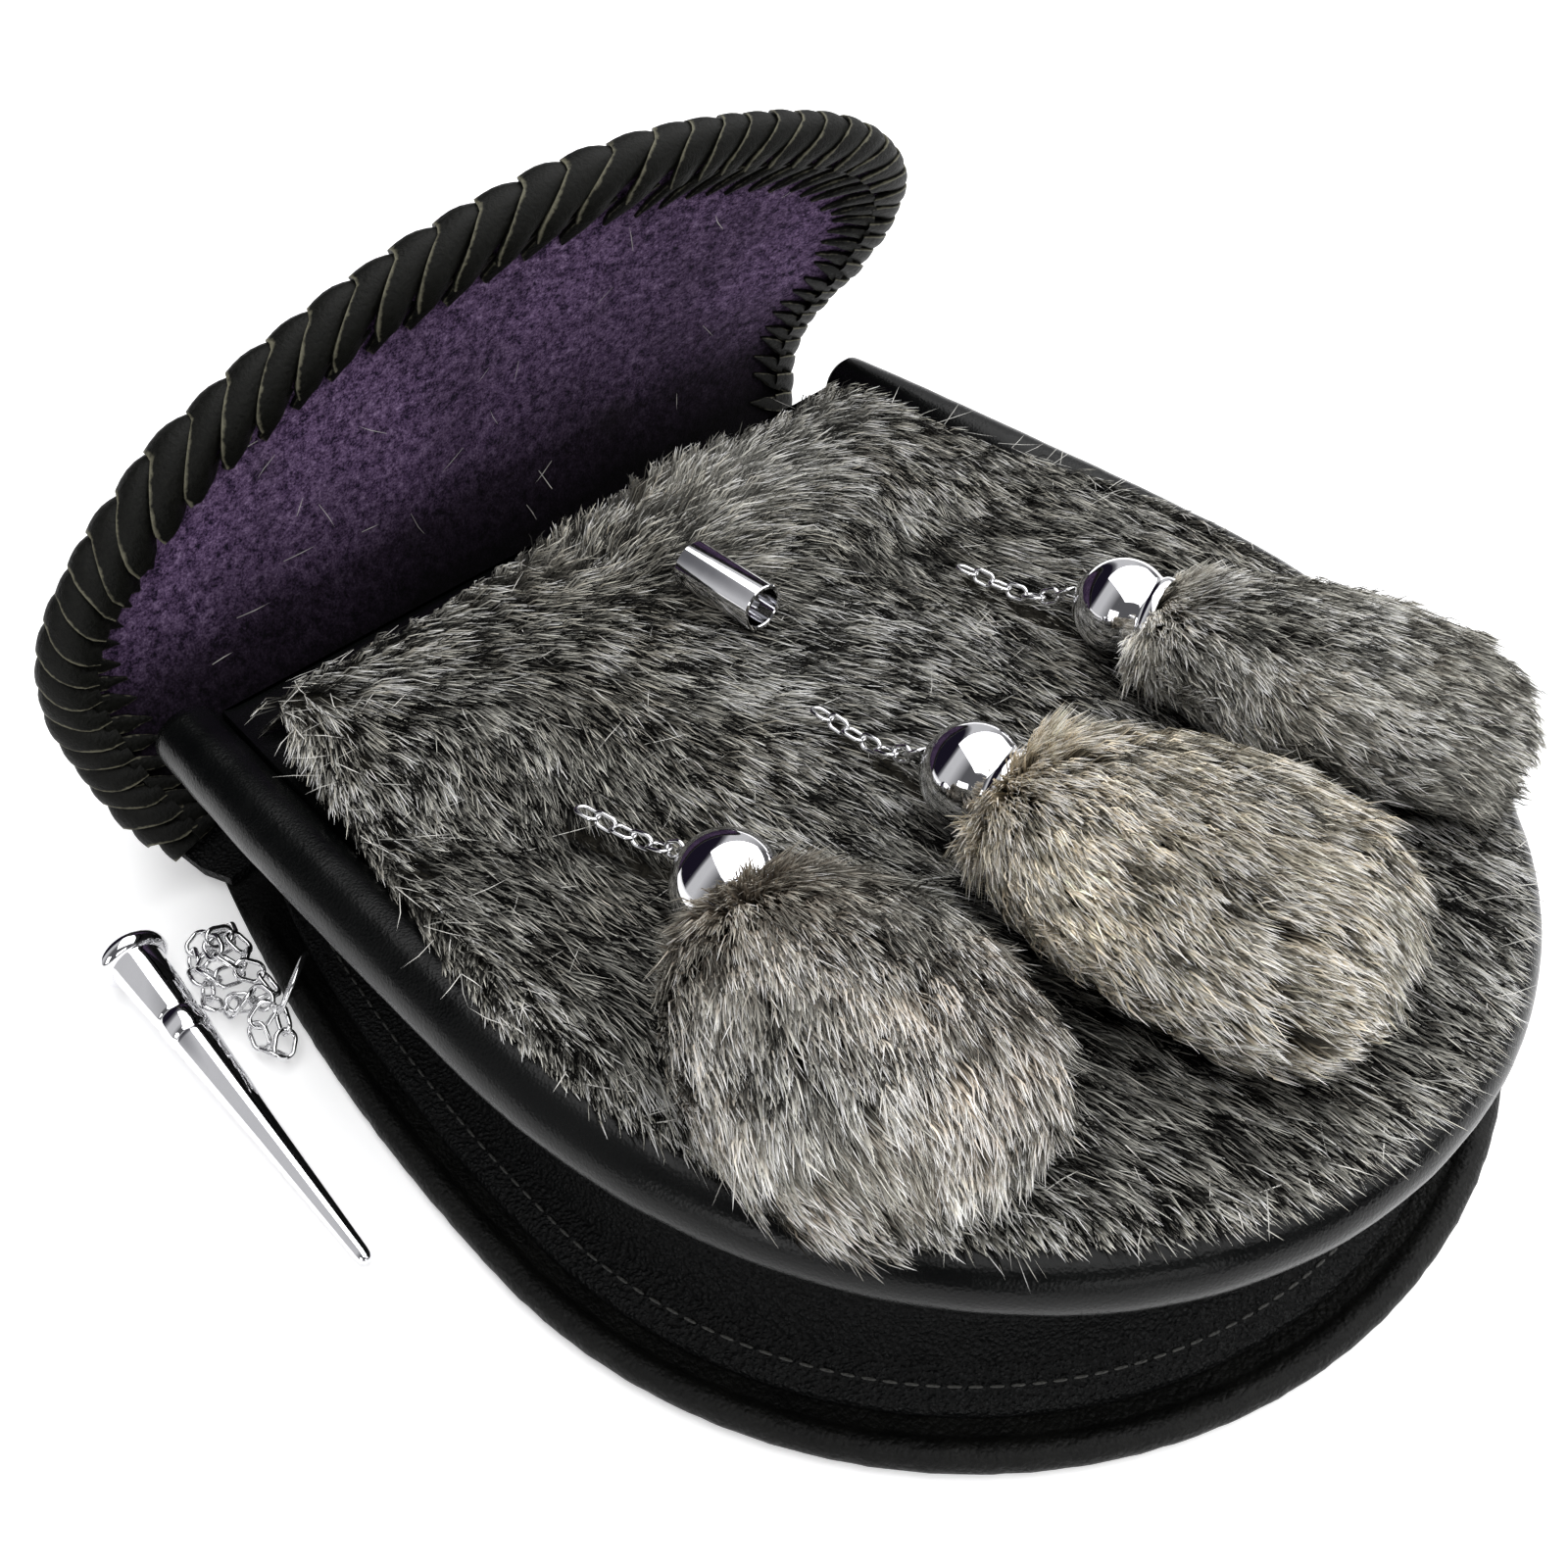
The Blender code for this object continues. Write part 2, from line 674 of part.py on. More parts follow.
def flap_half_width(v):
    if v <= 0:
        return FLAP_NECK + (FLAP_LAP_HALF - FLAP_NECK) * min(-v / FLAP_LAP, 1.0)
    if v < FLAP_WIDEST_AT:
        return FLAP_NECK + (FLAP_HALF - FLAP_NECK) * math.sin(math.pi / 2 * v / FLAP_WIDEST_AT)
    part = min((v - FLAP_WIDEST_AT) / (FLAP_LENGTH - FLAP_WIDEST_AT), 1.0)
    return FLAP_HALF * (1.0 - part**FLAP_POWER) ** (1 / FLAP_POWER)


def flap_sheet(name, rows, inset, lift, thick, slot):
    """A sheet of even thickness over the flap, through its rows of v."""
    points = []
    for side in (lift, lift + thick):
        for v in rows:
            half = flap_half_width(v) - inset
            for column in range(FLAP_COLUMNS):
                u = half * (2.0 * column / (FLAP_COLUMNS - 1) - 1.0)
                points.append(flap_middle(u, v) + flap_normal(u, v) * side)
    count = FLAP_COLUMNS
    layer = count * len(rows)
    faces = []
    for row in range(len(rows) - 1):
        for column in range(count - 1):
            first = row * count + column
            quad = (first, first + 1, first + count + 1, first + count)
            faces.append(quad)
            faces.append(tuple(index + layer for index in quad))
    edge = list(range(count))
    edge += [row * count + count - 1 for row in range(1, len(rows))]
    edge += [layer - 1 - column for column in range(1, count)]
    edge += [row * count for row in range(len(rows) - 2, 0, -1)]
    for index, first in enumerate(edge):
        after = edge[(index + 1) % len(edge)]
        faces.append((first, after, after + layer, first + layer))
    add_object(name, mesh_from(name, points, faces), slot, 50.0)


def build_flap():
    lap = [share * FLAP_LAP for share in LAP_ROWS]
    rows = [share * FLAP_LENGTH for share in LINING_ROWS]
    end = [FLAP_END_ROW * FLAP_LENGTH]
    flap_sheet("flap", lap + rows + end, FLAP_INSET, -FLAP_LEATHER, FLAP_LEATHER, "black_leather")
    flap_sheet("flap_lining", rows, LINING_INSET, LINING_CLEAR, LINING_THICK, "purple_suede")


def flap_edge():
    """Fine points (u, v) round the flap's edge, from the left end of its neck over the top to the right."""
    right = []
    for step in range(80):
        v = LACING_FROM + (FLAP_WIDEST_AT - LACING_FROM) * step / 80
        right.append((flap_half_width(v), v))
    for step in range(121):
        angle = math.pi / 2 * step / 120
        u = FLAP_HALF * math.cos(angle) ** (2 / FLAP_POWER) if step < 120 else 0.0
        v = FLAP_WIDEST_AT + (FLAP_LENGTH - FLAP_WIDEST_AT) * math.sin(angle) ** (2 / FLAP_POWER)
        right.append((u, v))
    return [(-u, v) for u, v in right] + right[-2::-1]


def lacing_frames():
    """Evenly spaced places on the flap's edge, with the way out of the flap and its normal there."""
    fine = []
    for u, v in flap_edge():
        fine.append(tuple(flap_middle(u, v)) + tuple(flap_normal(u, v)))
    lengths = [0.0]
    for before, after in zip(fine, fine[1:]):
        lengths.append(lengths[-1] + math.dist(before[:3], after[:3]))
    frames = []
    index = 0
    for station in range(LACING_STATIONS):
        want = lengths[-1] * station / (LACING_STATIONS - 1)
        while index < len(fine) - 2 and lengths[index + 1] < want:
            index += 1
        place = Vector(fine[index][:3])
        low, high = max(index - 3, 0), min(index + 3, len(fine) - 1)
        run = (Vector(fine[high][:3]) - Vector(fine[low][:3])).normalized()
        normal = Vector(fine[index][3:])
        frames.append((place, normal.cross(run).normalized(), normal))
    return frames


def build_lacing():
    channel = {1: LINING_CLEAR + LINING_THICK + LACING_CHANNEL, -1: FLAP_LEATHER + LACING_CHANNEL}
    rings = []
    for station, (place, out, normal) in enumerate(lacing_frames()):
        swell = LACING_SWELL if station % 2 else 0.0
        ring = []
        for number, (across, side, wall) in enumerate(LACING_PROFILE):
            wide = swell if number in LACING_OUTER else 0.0
            outwards = across * (LACING_OUT if across > 0 else LACING_DEPTH)
            lift = channel[side] + wall * LACING_WALL + wide / 2
            ring.append(place + out * (outwards + wide * (across > 0)) + normal * lift * side)
        rings.append(ring)
    loft("flap_lacing", rings, "lacing_leather", 50.0)


def ring_mesh(name, radius, wire, steps):
    bpy.ops.mesh.primitive_torus_add(
        major_segments=steps, minor_segments=LINK_SIDES, major_radius=radius, minor_radius=wire / 2
    )
    ring = bpy.context.active_object
    mesh = ring.data
    mesh.name = name
    bpy.data.objects.remove(ring, do_unlink=True)
    return mesh


def oval_link(name, links, slot):
    """One link along X: a ring pulled out into an oval."""
    round_radius = (links["width"] - links["wire"]) / 2
    mesh = ring_mesh(name, round_radius, links["wire"], LINK_STEPS)
    pull = (links["pitch"] + links["wire"] - LINK_FUSE) / 2 - round_radius
    for vertex in mesh.vertices:
        if abs(vertex.co.x) > 1e-7:
            vertex.co.x += math.copysign(pull, vertex.co.x)
    return add_object(name, mesh, slot)


def chain_joints(path, pitch):
    """Points at one pitch from each other along a path."""
    fine = []
    for before, after in zip(path, path[1:]):
        for step in range(40):
            fine.append(before.lerp(after, step / 40))
    fine.append(path[-1])
    joints = [fine[0]]
    for point in fine:
        if (point - joints[-1]).length >= pitch:
            joints.append(joints[-1] + (point - joints[-1]).normalized() * pitch)
    return joints


def build_chain(name, path, links, first_roll):
    """A chain fused into one body. Also returns its last joint and the way its last link points."""
    joints = chain_joints(path, links["pitch"])
    chain = None
    for number, (start, end) in enumerate(zip(joints, joints[1:])):
        if chain:
            link = oval_link(f"{name}_link_{number}", links, None)
        else:
            link = oval_link(name, links, "steel_chain")
        along = (end - start).normalized()
        side = along.cross(Vector((0, 0, 1))).normalized()
        up = side.cross(along)
        turn = Matrix((along, -side, up)).transposed()
        roll = Matrix.Rotation(math.radians(first_roll + 90.0 * number), 3, "X")
        link.matrix_world = Matrix.Translation((start + end) / 2) @ (turn @ roll).to_4x4()
        if chain:
            boolean(chain, link, "UNION")
        else:
            chain = link
    return chain, joints[-1], along


def smooth_path(points, steps=6):
    """The points joined by a smooth line through them all."""
    path = []
    for index in range(len(points) - 1):
        before = points[max(index - 1, 0)]
        start, end = points[index], points[index + 1]
        after = points[min(index + 2, len(points) - 1)]
        for step in range(steps):
            t = step / steps
            path.append(
                0.5
                * (
                    2 * start
                    + (end - before) * t
                    + (2 * before - 5 * start + 4 * end - after) * t * t
                    + (3 * start - before - 3 * end + after) * t**3
                )
            )
    path.append(points[-1])
    return path


def build_pin_chain():
    points = []
    for out, down, height in PIN_CHAIN_PATH:
        x = beside_panel() - out * PIN_PITCH
        points.append(mouth_point(x, down * PIN_PITCH, height * PIN_PITCH))
    chain, end, along = build_chain("pin_chain", smooth_path(points), PIN_LINKS, 35.0)
    ring = add_object("pin_chain_ring", ring_mesh("pin_chain_ring", RING_RADIUS, RING_WIRE, RING_STEPS), None)
    across = Vector(RING_ACROSS).normalized()
    facing = across.cross(Vector(RING_DEPTH)).normalized()
    turn = Matrix((across, facing.cross(across), facing)).transposed()
    hooked = end - along * (RING_WIRE - LINK_FUSE) / 2
    ring.matrix_world = Matrix.Translation(hooked + across * RING_RADIUS) @ turn.to_4x4()
    boolean(chain, ring, "UNION")


def build_tassel_cap(side, middle, way):
    profile = []
    for along, radius in CAP_OUTSIDE:
        profile.append((along * CAP_RADIUS, radius * CAP_RADIUS if radius else CAP_HOLE))
    for along, share in CAP_INSIDE:
        profile.append((along * CAP_RADIUS, share * (CAP_RADIUS - CAP_WALL)))
    profile.append((CAP_WALL - CAP_RADIUS, CAP_HOLE))
    cap = turned(f"tassel_cap_{side}", profile, True, CAP_SIDES, "chrome")
    aim(cap, middle, middle + way)


def build_tassel(side, middle, turn, sizes, slot):
    """A root inside the cap's hollow, then the fur, whose underside lies on the pelt."""
    wide, thick, long = sizes
    length = long * TASSEL_LENGTH
    chance = random.Random(SEED + len(side))
    mouth = CAP_OUTSIDE[-1][0] * CAP_RADIUS
    root = min(share for _, share in CAP_INSIDE[:3]) * (CAP_RADIUS - CAP_WALL) - ROOT_PLAY
    sections = [(TASSEL_ROOT, root, root, 0.0, False), (mouth + GAP, root, root, 0.0, False)]
    for part, width, thickness in TASSEL_TABLE:
        half_thick = thickness * thick * TASSEL_HALF_THICK
        rise = half_thick * LOCK_WIDE - CAP_RADIUS
        along = mouth + 2 * GAP + part * length
        sections.append((along, width * wide * TASSEL_HALF, half_thick, rise, True))
    rings = []
    for number, (along, half_width, half_thick, rise, locked) in enumerate(sections):
        ring = []
        for index in range(TASSEL_SIDES):
            angle = math.tau * index / TASSEL_SIDES
            lock = 1.0
            shift = 0.0
            if locked and number > 2:
                lock = LOCK_WIDE if (index + number) % 2 else LOCK_NARROW
                shift = chance.uniform(-1.0, 1.0) * LOCK_DEPTH
            x = half_width * math.cos(angle) * lock
            z = half_thick * math.sin(angle) * lock
            ring.append(Vector((x, shift - along, z + rise)))
        rings.append(ring)
    tassel = loft(f"tassel_{side}", rings, slot, 60.0)
    tassel.location = middle
    tassel.rotation_euler = turn


def build_tassels():
    slots = {"left": "brown_fur", "centre": "tan_fur", "right": "dark_fur"}
    for side, x, down, turn_deg, up_deg, wide, thick, long, anchor_x, anchor_down in TASSELS:
        middle = mouth_point(x * RIM_HALF, down * RIM_LENGTH, CAP_HEIGHT)
        turn = Euler((math.radians(-up_deg), 0, math.radians(turn_deg)))
        way = turn.to_matrix() @ Vector((0, -1, 0))
        build_tassel_cap(side, middle, way)
        build_tassel(side, middle, turn, (wide, thick, long), slots[side])
        apex = middle - way * (CAP_RADIUS + GAP + TASSEL_WIRE)
        anchor = mouth_point(anchor_x * RIM_HALF, anchor_down * RIM_LENGTH, CHAIN_HEIGHT)
        low = anchor.lerp(apex, 0.7)
        low.z = CHAIN_HEIGHT + LOCK_DEPTH
        build_chain(f"tassel_chain_{side}", smooth_path([apex, low, anchor]), TASSEL_LINKS, 20.0)


clear_scene()
PARTS = new_collection("sporran_pouch", False)
HELPERS = new_collection("helpers", True)
build_back_panel()
build_gusset()
build_front_rim()
build_front_panel()
build_fur_front()
build_flap()
build_lacing()
build_closure_tube()
build_pin()
build_pin_chain()
build_tassels()
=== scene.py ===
import math

import bmesh
import bpy
import numpy as np
from mathutils import Euler, Matrix, Vector


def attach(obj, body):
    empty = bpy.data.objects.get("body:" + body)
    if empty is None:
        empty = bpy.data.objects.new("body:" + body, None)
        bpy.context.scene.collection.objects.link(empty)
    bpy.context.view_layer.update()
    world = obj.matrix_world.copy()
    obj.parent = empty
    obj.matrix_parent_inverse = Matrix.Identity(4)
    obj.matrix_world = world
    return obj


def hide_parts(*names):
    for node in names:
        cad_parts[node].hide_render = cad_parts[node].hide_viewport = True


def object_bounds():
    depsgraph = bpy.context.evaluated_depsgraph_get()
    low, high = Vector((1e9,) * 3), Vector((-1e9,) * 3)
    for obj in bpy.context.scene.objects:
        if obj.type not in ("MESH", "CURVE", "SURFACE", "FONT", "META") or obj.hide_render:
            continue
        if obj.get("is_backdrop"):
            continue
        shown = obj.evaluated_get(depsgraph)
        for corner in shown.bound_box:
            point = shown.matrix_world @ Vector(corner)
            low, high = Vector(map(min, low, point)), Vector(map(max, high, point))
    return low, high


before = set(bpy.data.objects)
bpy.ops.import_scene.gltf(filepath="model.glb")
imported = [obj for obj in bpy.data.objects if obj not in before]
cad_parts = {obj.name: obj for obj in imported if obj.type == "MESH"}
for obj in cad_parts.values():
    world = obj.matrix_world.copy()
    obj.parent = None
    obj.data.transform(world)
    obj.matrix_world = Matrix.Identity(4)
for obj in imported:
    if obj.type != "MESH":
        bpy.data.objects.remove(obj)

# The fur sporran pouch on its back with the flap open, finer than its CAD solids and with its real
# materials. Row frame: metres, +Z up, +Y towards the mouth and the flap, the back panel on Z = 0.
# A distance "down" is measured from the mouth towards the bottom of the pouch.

CAD_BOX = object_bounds()
MM = 0.001
GAP = 0.3 * MM
MOUTH_Y = 95.0 * MM
SEED = 11

# Camera and the image's focal length in shares of its width
CAMERA_AT = (-0.14996, -0.11806, 0.2204)
CAMERA_TO = (-0.0072, 0.0233, 0.0192)
FOCAL_SHARE = 0.9579

# The way from the pouch to the studio's dark back wall, which its polished metal reflects
DARK_WAY = (-0.05, 0.99, 0.12)
WORLD_SHADES = (
    # cosine to that way, colour
    (0.0, (0.17, 0.17, 0.18)),
    (0.40, (0.95, 0.95, 0.97)),
    (0.64, (0.95, 0.95, 0.97)),
    (0.695, (0.26, 0.26, 0.28)),
    (0.75, (0.015, 0.012, 0.025)),
)
WORLD_STRENGTH = 0.64
SOFT_BOXES = (
    # name, place, size, watts
    ("key", (0.40, -0.20, 0.94), (2.1, 2.1), 35.0),
    ("front", (-0.40, -0.95, 0.30), (0.5, 0.28), 1.2),
    ("side", (-0.99, -0.25, 0.30), (0.4, 0.4), 1.6),
)
FLOOR_HALF = 3.0
FLOOR_GLOW = 0.32

# Outlines: half width at the mouth, widest half width, how far down that is, length, bottom's power
RIM_OUTLINE = (85.7 * MM, 88.3 * MM, 93.2 * MM, 194.7 * MM, 2.09)
BACK_OUTLINE = (89.4 * MM, 102.8 * MM, 103.8 * MM, 205.6 * MM, 2.03)
RIM_RADIUS = 6.4 * MM
RIM_HEIGHT = 36.4 * MM
PANEL_THICK = 3.0 * MM
ROLL_RADIUS = 2.4 * MM
ROLL_INNER = 2.17
ROLL_FROM = 12.6 * MM
ROLL_REACH = 12.0 * MM
SEAM_GROOVE = 2.2 * MM
FOOT_WIDTH = 9.0 * MM
GUSSET_THICK = 1.7 * MM
GUSSET_TOP_INSET = 2.4 * MM
GUSSET_TUCK = 4.5 * MM
GUSSET_WALL = ((0.125, 0, 0.0), (0.48, 1, 1.0), (0.78, 1, 0.53), (1.0, 1, 0.0))
GUSSET_SLANT = 10.0 * MM
SLANT_REACH = 40.0 * MM
FRONT_THICK = 2.0 * MM
FRONT_TOP = RIM_HEIGHT + 1.0 * MM
RIM_TOP = RIM_HEIGHT + RIM_RADIUS

# Creases in the gusset: place round the outline from 0 to 1, width along it, depth
GUSSET_CREASES = (
    (0.655, 0.0045, 0.9 * MM),
    (0.30, 0.006, 0.6 * MM),
    (0.47, 0.010, 0.5 * MM),
    (0.83, 0.008, 0.5 * MM),
    (0.15, 0.007, 0.5 * MM),
)
STITCH_PITCH = 3.1 * MM
STITCH_LENGTH = 2.1 * MM
STITCH_WIDTH = 0.5 * MM

# Pelt
FUR_LIP = 1.7 * MM
FUR_BASE = FRONT_TOP + GAP
FUR_TOP = RIM_TOP + GAP + FUR_LIP
FUR_FROM_MOUTH = 9.0 * MM
FUR_EDGE_INSET = 1.2 * MM
FUR_MOUTH_INSET = 16.0 * MM
FUR_STRAIGHT = 92.0 * MM
FUR_LIE = 5.0
FUR_SWIRLS = (
    # x, down and reach in millimetres, way the hair lies in degrees from straight down towards +x
    (30, 12, 15, 116),
    (8, 17, 11, 108),
    (-12, 18, 7, 150),
    (34, 28, 8, 56),
    (15, 34, 7, 82),
    (14, 62, 11, 48),
    (31, 54, 11, -32),
    (48, 50, 10, -25),
    (74, 12, 9, 80),
    (63, 70, 12, 27),
    (-52, 19, 13, 62),
    (-28, 18, 8, 40),
    (-76, 24, 6, -40),
    (-55, 56, 13, -14),
    (-75, 62, 7, 35),
    (-8, 68, 10, 30),
    (-30, 96, 14, 26),
    (50, 140, 30, -12),
)
FUR_TONES_AND_SHADOW = (
    # x, down and reach in millimetres, how much paler or darker; the row at x 4, down 52 is painted shadow
    # under the closure tube
    (22, 22, 14, 0.2),
    (8, 68, 13, 0.3),
    (-22, 74, 16, 0.2),
    (52, 18, 12, 0.3),
    (-40, 46, 13, -0.35),
    (31, 55, 11, -0.75),
    # painted shadow of the closure tube on the hair under it
    (4, 52, 7, -0.4),
    (-60, 86, 12, -0.3),
    (60, 84, 10, -0.35),
    (74, 58, 10, -0.3),
    (-66, 104, 12, -0.25),
    (-78, 120, 12, 0.3),
    (-62, 72, 20, -0.55),
    (-20, 150, 26, -0.65),
)
FUR_TUFTS = (
    # x, down and reach in millimetres, how much higher and longer the hair stands
    (22, 13, 15, 1.1),
    (62, 10, 9, 0.5),
    (-20, 14, 9, 0.5),
    (-74, 17, 6, 0.5),
    (10, 64, 7, 0.3),
    (-1, 38, 5, 1.0),
    (9, 50, 4, 0.5),
)
ROOT_DEPTH = 2.4 * MM
CLUMP_ACROSS = 1.3 * MM
CLUMP_ALONG = 2.5 * MM
HAIR_WIDTH = 0.28 * MM
HAIR_STEPS = (0.0, 0.55, 1.0)
HAIR_TAPER = (0.85, 1.0, 0.0)
HAIR_CURVE = 2.2
HAIR_DROOP = 0.28

# Kinds of hair: share of hairs, and how pale each is at its root, middle and tip
PELT_KINDS = (
    (0.47, (0.004, 0.17, 1.0)),
    (0.20, (0.003, 0.05, 0.42)),
    # The near-black kind is the pelt's dark hair and also painted shade in the gaps between clumps.
    (0.33, (0.002, 0.004, 0.011)),
)
TASSEL_KINDS = (
    (0.53, (0.03, 0.20, 1.0)),
    (0.26, (0.02, 0.09, 0.46)),
    (0.21, (0.008, 0.02, 0.05)),
)
SOFT_HAIR = (0.10, 0.28, 0.52)
PLAIN_TINT = (1.0, 0.985, 0.89)
PELT_TINTS = ((1.0, 0.87, 0.66), (1.0, 0.93, 0.76))
PELT_HAIRS = 58000
MOST_PER_CLUMP = 22
# Clump tones: the clumps turned wholly dark are partly painted shade between clumps.
CLUMP_TONES = 0.6
CLUMP_ONE_KIND = 0.42
STRAY_ON_PELT = 520
STRAY_ON_EDGE = 160
STRAY_ON_SUEDE = 24

# Flap: its sizes are those of the CAD
FOLD_Y = 14.0 * MM
FOLD_SKEW = 0.121
FLAP_LAP = 8.0 * MM
FLAP_LAP_HALF = 90.4 * MM
FLAP_START_DEG = 30.0
FLAP_LEAN_DEG = 112.0
FLAP_TWIST_DEG = 14.8
FLAP_BEND_AT = 26.1 * MM
FLAP_BEND_SOFT = 12.0 * MM
FLAP_NECK = 93.4 * MM
FLAP_HALF = 99.0 * MM
FLAP_WIDEST_AT = 52.9 * MM
FLAP_LENGTH = 103.0 * MM
FLAP_POWER = 2.38
FLAP_SKEW = 0.266
FLAP_CUP_LEFT = 4.4 * MM
FLAP_CUP_RIGHT = 19.8 * MM
FLAP_CUP_REACH = 60.0 * MM
FLAP_LEATHER = 2.0 * MM
LINING_THICK = 1.2 * MM
LINING_CLEAR = 0.6 * MM
FLAP_INSET = 0.8 * MM
LINING_INSET = 3.2 * MM

# Laces wound round the flap's edge, each overlapping the next
LACE_FROM = 4.0 * MM
LACE_OUT = 2.2 * MM
LACE_HALF_THICK = 4.3 * MM
LACE_THICK = 1.0 * MM
LACE_PITCHES = (
    # distance along the edge, pitch there
    (0 * MM, 4.8 * MM),
    (62 * MM, 5.6 * MM),
    (78 * MM, 9.0 * MM),
    (186 * MM, 9.2 * MM),
    (206 * MM, 5.8 * MM),
    (351 * MM, 5.4 * MM),
)
NARROW_PITCH = 5.6 * MM
BROAD_PITCH = 9.0 * MM
LACE_AXIS_IN = 2.6 * MM
LACE_END_RUN = 10.0 * MM
LACE_FRONT_DEG = 106.0
LACE_BEHIND_DEG = 100.0
STITCH_DEEP = 12.5 * MM
STITCH_NEAR = 4.0 * MM
STITCH_LEAN = 6.0 * MM
STITCH_THICK = 0.8 * MM
STITCH_RAW = 0.7

# Closure tube, its post and the pin
TUBE_RADIUS = 4.6 * MM
TUBE_BORE = 3.7 * MM
TUBE_LENGTH = 19.0 * MM
TUBE_DOWN = 40.3 * MM
TUBE_HEIGHT = 50.4 * MM
POST_RADIUS = 2.0 * MM
PIN_LENGTH = 79.6 * MM
PIN_HEAD_RADIUS = 6.3 * MM
PIN_TIP_SHARE = 0.214
PIN_CLEAR = 9.5 * MM
PIN_DOWN = 8.2 * MM
PIN_TURN_DEG = -2.2
PIN_PROFILE = (
    # distance from the head's top as a share of the length, radius as a share of the head's
    (0.0, 0.0),
    (0.001, 0.3),
    (0.004, 0.6),
    (0.0125, 0.86),
    (0.021, 0.96),
    (0.03, 1.0),
    (0.041, 0.99),
    (0.05, 0.91),
    (0.054, 0.82),
    (0.056, 0.76),
    (0.064, 0.745),
    (0.234, 0.615),
    (0.238, 0.59),
    (0.241, 0.565),
    (0.244, 0.56),
    (0.247, 0.575),
    (0.25, 0.62),
    (0.256, 0.635),
    (0.29, 0.625),
    (0.301, 0.6),
    (0.305, 0.575),
    (0.308, 0.54),
    (0.311, 0.53),
    (0.314, 0.54),
    (0.317, 0.575),
    (0.325, 0.58),
    (0.63, 0.39),
    (0.975, 0.216),
    (0.987, 0.19),
    (0.995, 0.14),
    (0.999, 0.07),
    (1.0, 0.0),
)

# Chains: pitch between links, wire thickness, width
TASSEL_LINKS = (3.7 * MM, 0.8 * MM, 3.4 * MM)
PIN_LINKS = (4.3 * MM, 0.95 * MM, 4.4 * MM)
LINK_FUSE = 0.24 * MM
PIN_CHAIN_PATH = (
    # distance out from the back panel's widest side, down and height, in millimetres
    (4.95, 30.0, 5.2),
    (3.2, 24.6, 3.2),
    (2.4, 18.4, 2.9),
    (0.2, 13.2, 3.0),
    (-4.6, 12.8, 3.8),
    (-6.4, 17.4, 6.2),
    (-3.2, 20.4, 6.4),
    (0.6, 19.2, 7.4),
    (2.6, 23.4, 7.4),
    (0.4, 27.6, 7.0),
    (-3.8, 26.0, 6.0),
    (-6.2, 22.2, 7.6),
    (-2.8, 18.0, 10.0),
    (-0.6, 23.0, 10.6),
    (-2.2, 29.0, 9.2),
    (-5.6, 31.6, 6.0),
    (-4.2, 34.8, 4.4),
    (-0.2, 32.4, 4.2),
    (3.0, 29.6, 4.8),
    (2.4, 34.2, 6.2),
    (-2.4, 34.0, 8.6),
    (-1.6, 38.8, 7.4),
    (2.0, 38.4, 5.4),
    (3.2, 38.8, 3.0),
    (1.6, 44.8, 2.7),
    (-0.8, 47.6, 3.2),
    (-1.6, 42.4, 5.2),
    (-4.1, 37.0, 8.0),
)
RING_ACROSS = (0.744, 0.174, 0.65)
RING_DEPTH = (-0.156, -0.627, 0.763)
RING_RADIUS = 5.4 * MM
RING_WIRE = 1.0 * MM

# Tassels and their caps
CAP_RADIUS = 8.7 * MM
CAP_WALL = 1.0 * MM
CAP_HOLE = 1.4 * MM
CAP_COLLAR = (
    # distance from the cap's middle towards the tassel, and radius, as shares of the cap's radius
    (0.56, 0.835),
    (0.6, 0.835),
    (0.63, 0.84),
    (0.66, 0.86),
    (0.70, 0.875),
    (0.75, 0.88),
    (0.81, 0.875),
    (0.85, 0.86),
    (0.86, 0.82),
    (0.82, 0.8),
    (0.6, 0.75),
    (0.0, 0.88),
    (-0.5, 0.72),
    (-0.86, 0.3),
)
REST_ON_FUR = FUR_TOP + 0.4 * MM
CAP_HEIGHT = REST_ON_FUR + CAP_RADIUS
CHAIN_HEIGHT = REST_ON_FUR + GAP + TASSEL_LINKS[2] / 2
TASSEL_HALF = 25.0 * MM
TASSEL_HALF_THICK = 10.6 * MM
TASSELS = (
    # side, cap x, cap down, turn, tip up, width, thickness, length, anchor x, anchor down
    ("left", -52.6 * MM, 105.0 * MM, -14.0, 1.0, 0.97, 1.0, 49.0 * MM, -54.5 * MM, 69.5 * MM),
    ("centre", -9.4 * MM, 116.0 * MM, 7.0, 1.0, 1.05, 1.0, 57.5 * MM, -10.5 * MM, 80.0 * MM),
    ("right", 42.0 * MM, 107.4 * MM, 12.0, 1.0, 0.86, 0.86, 59.5 * MM, 37.8 * MM, 72.0 * MM),
)
TASSEL_TABLE = (
    # share of the length past the cap, share of the half width, share of the half thickness
    (-0.09, 0.24, 0.56),
    (0.0, 0.3, 0.66),
    (0.04, 0.46, 0.77),
    (0.14, 0.74, 0.89),
    (0.32, 0.93, 0.97),
    (0.54, 1.0, 1.0),
    (0.77, 0.97, 0.92),
    (0.92, 0.78, 0.72),
    (0.99, 0.5, 0.43),
    (1.01, 0.05, 0.05),
)

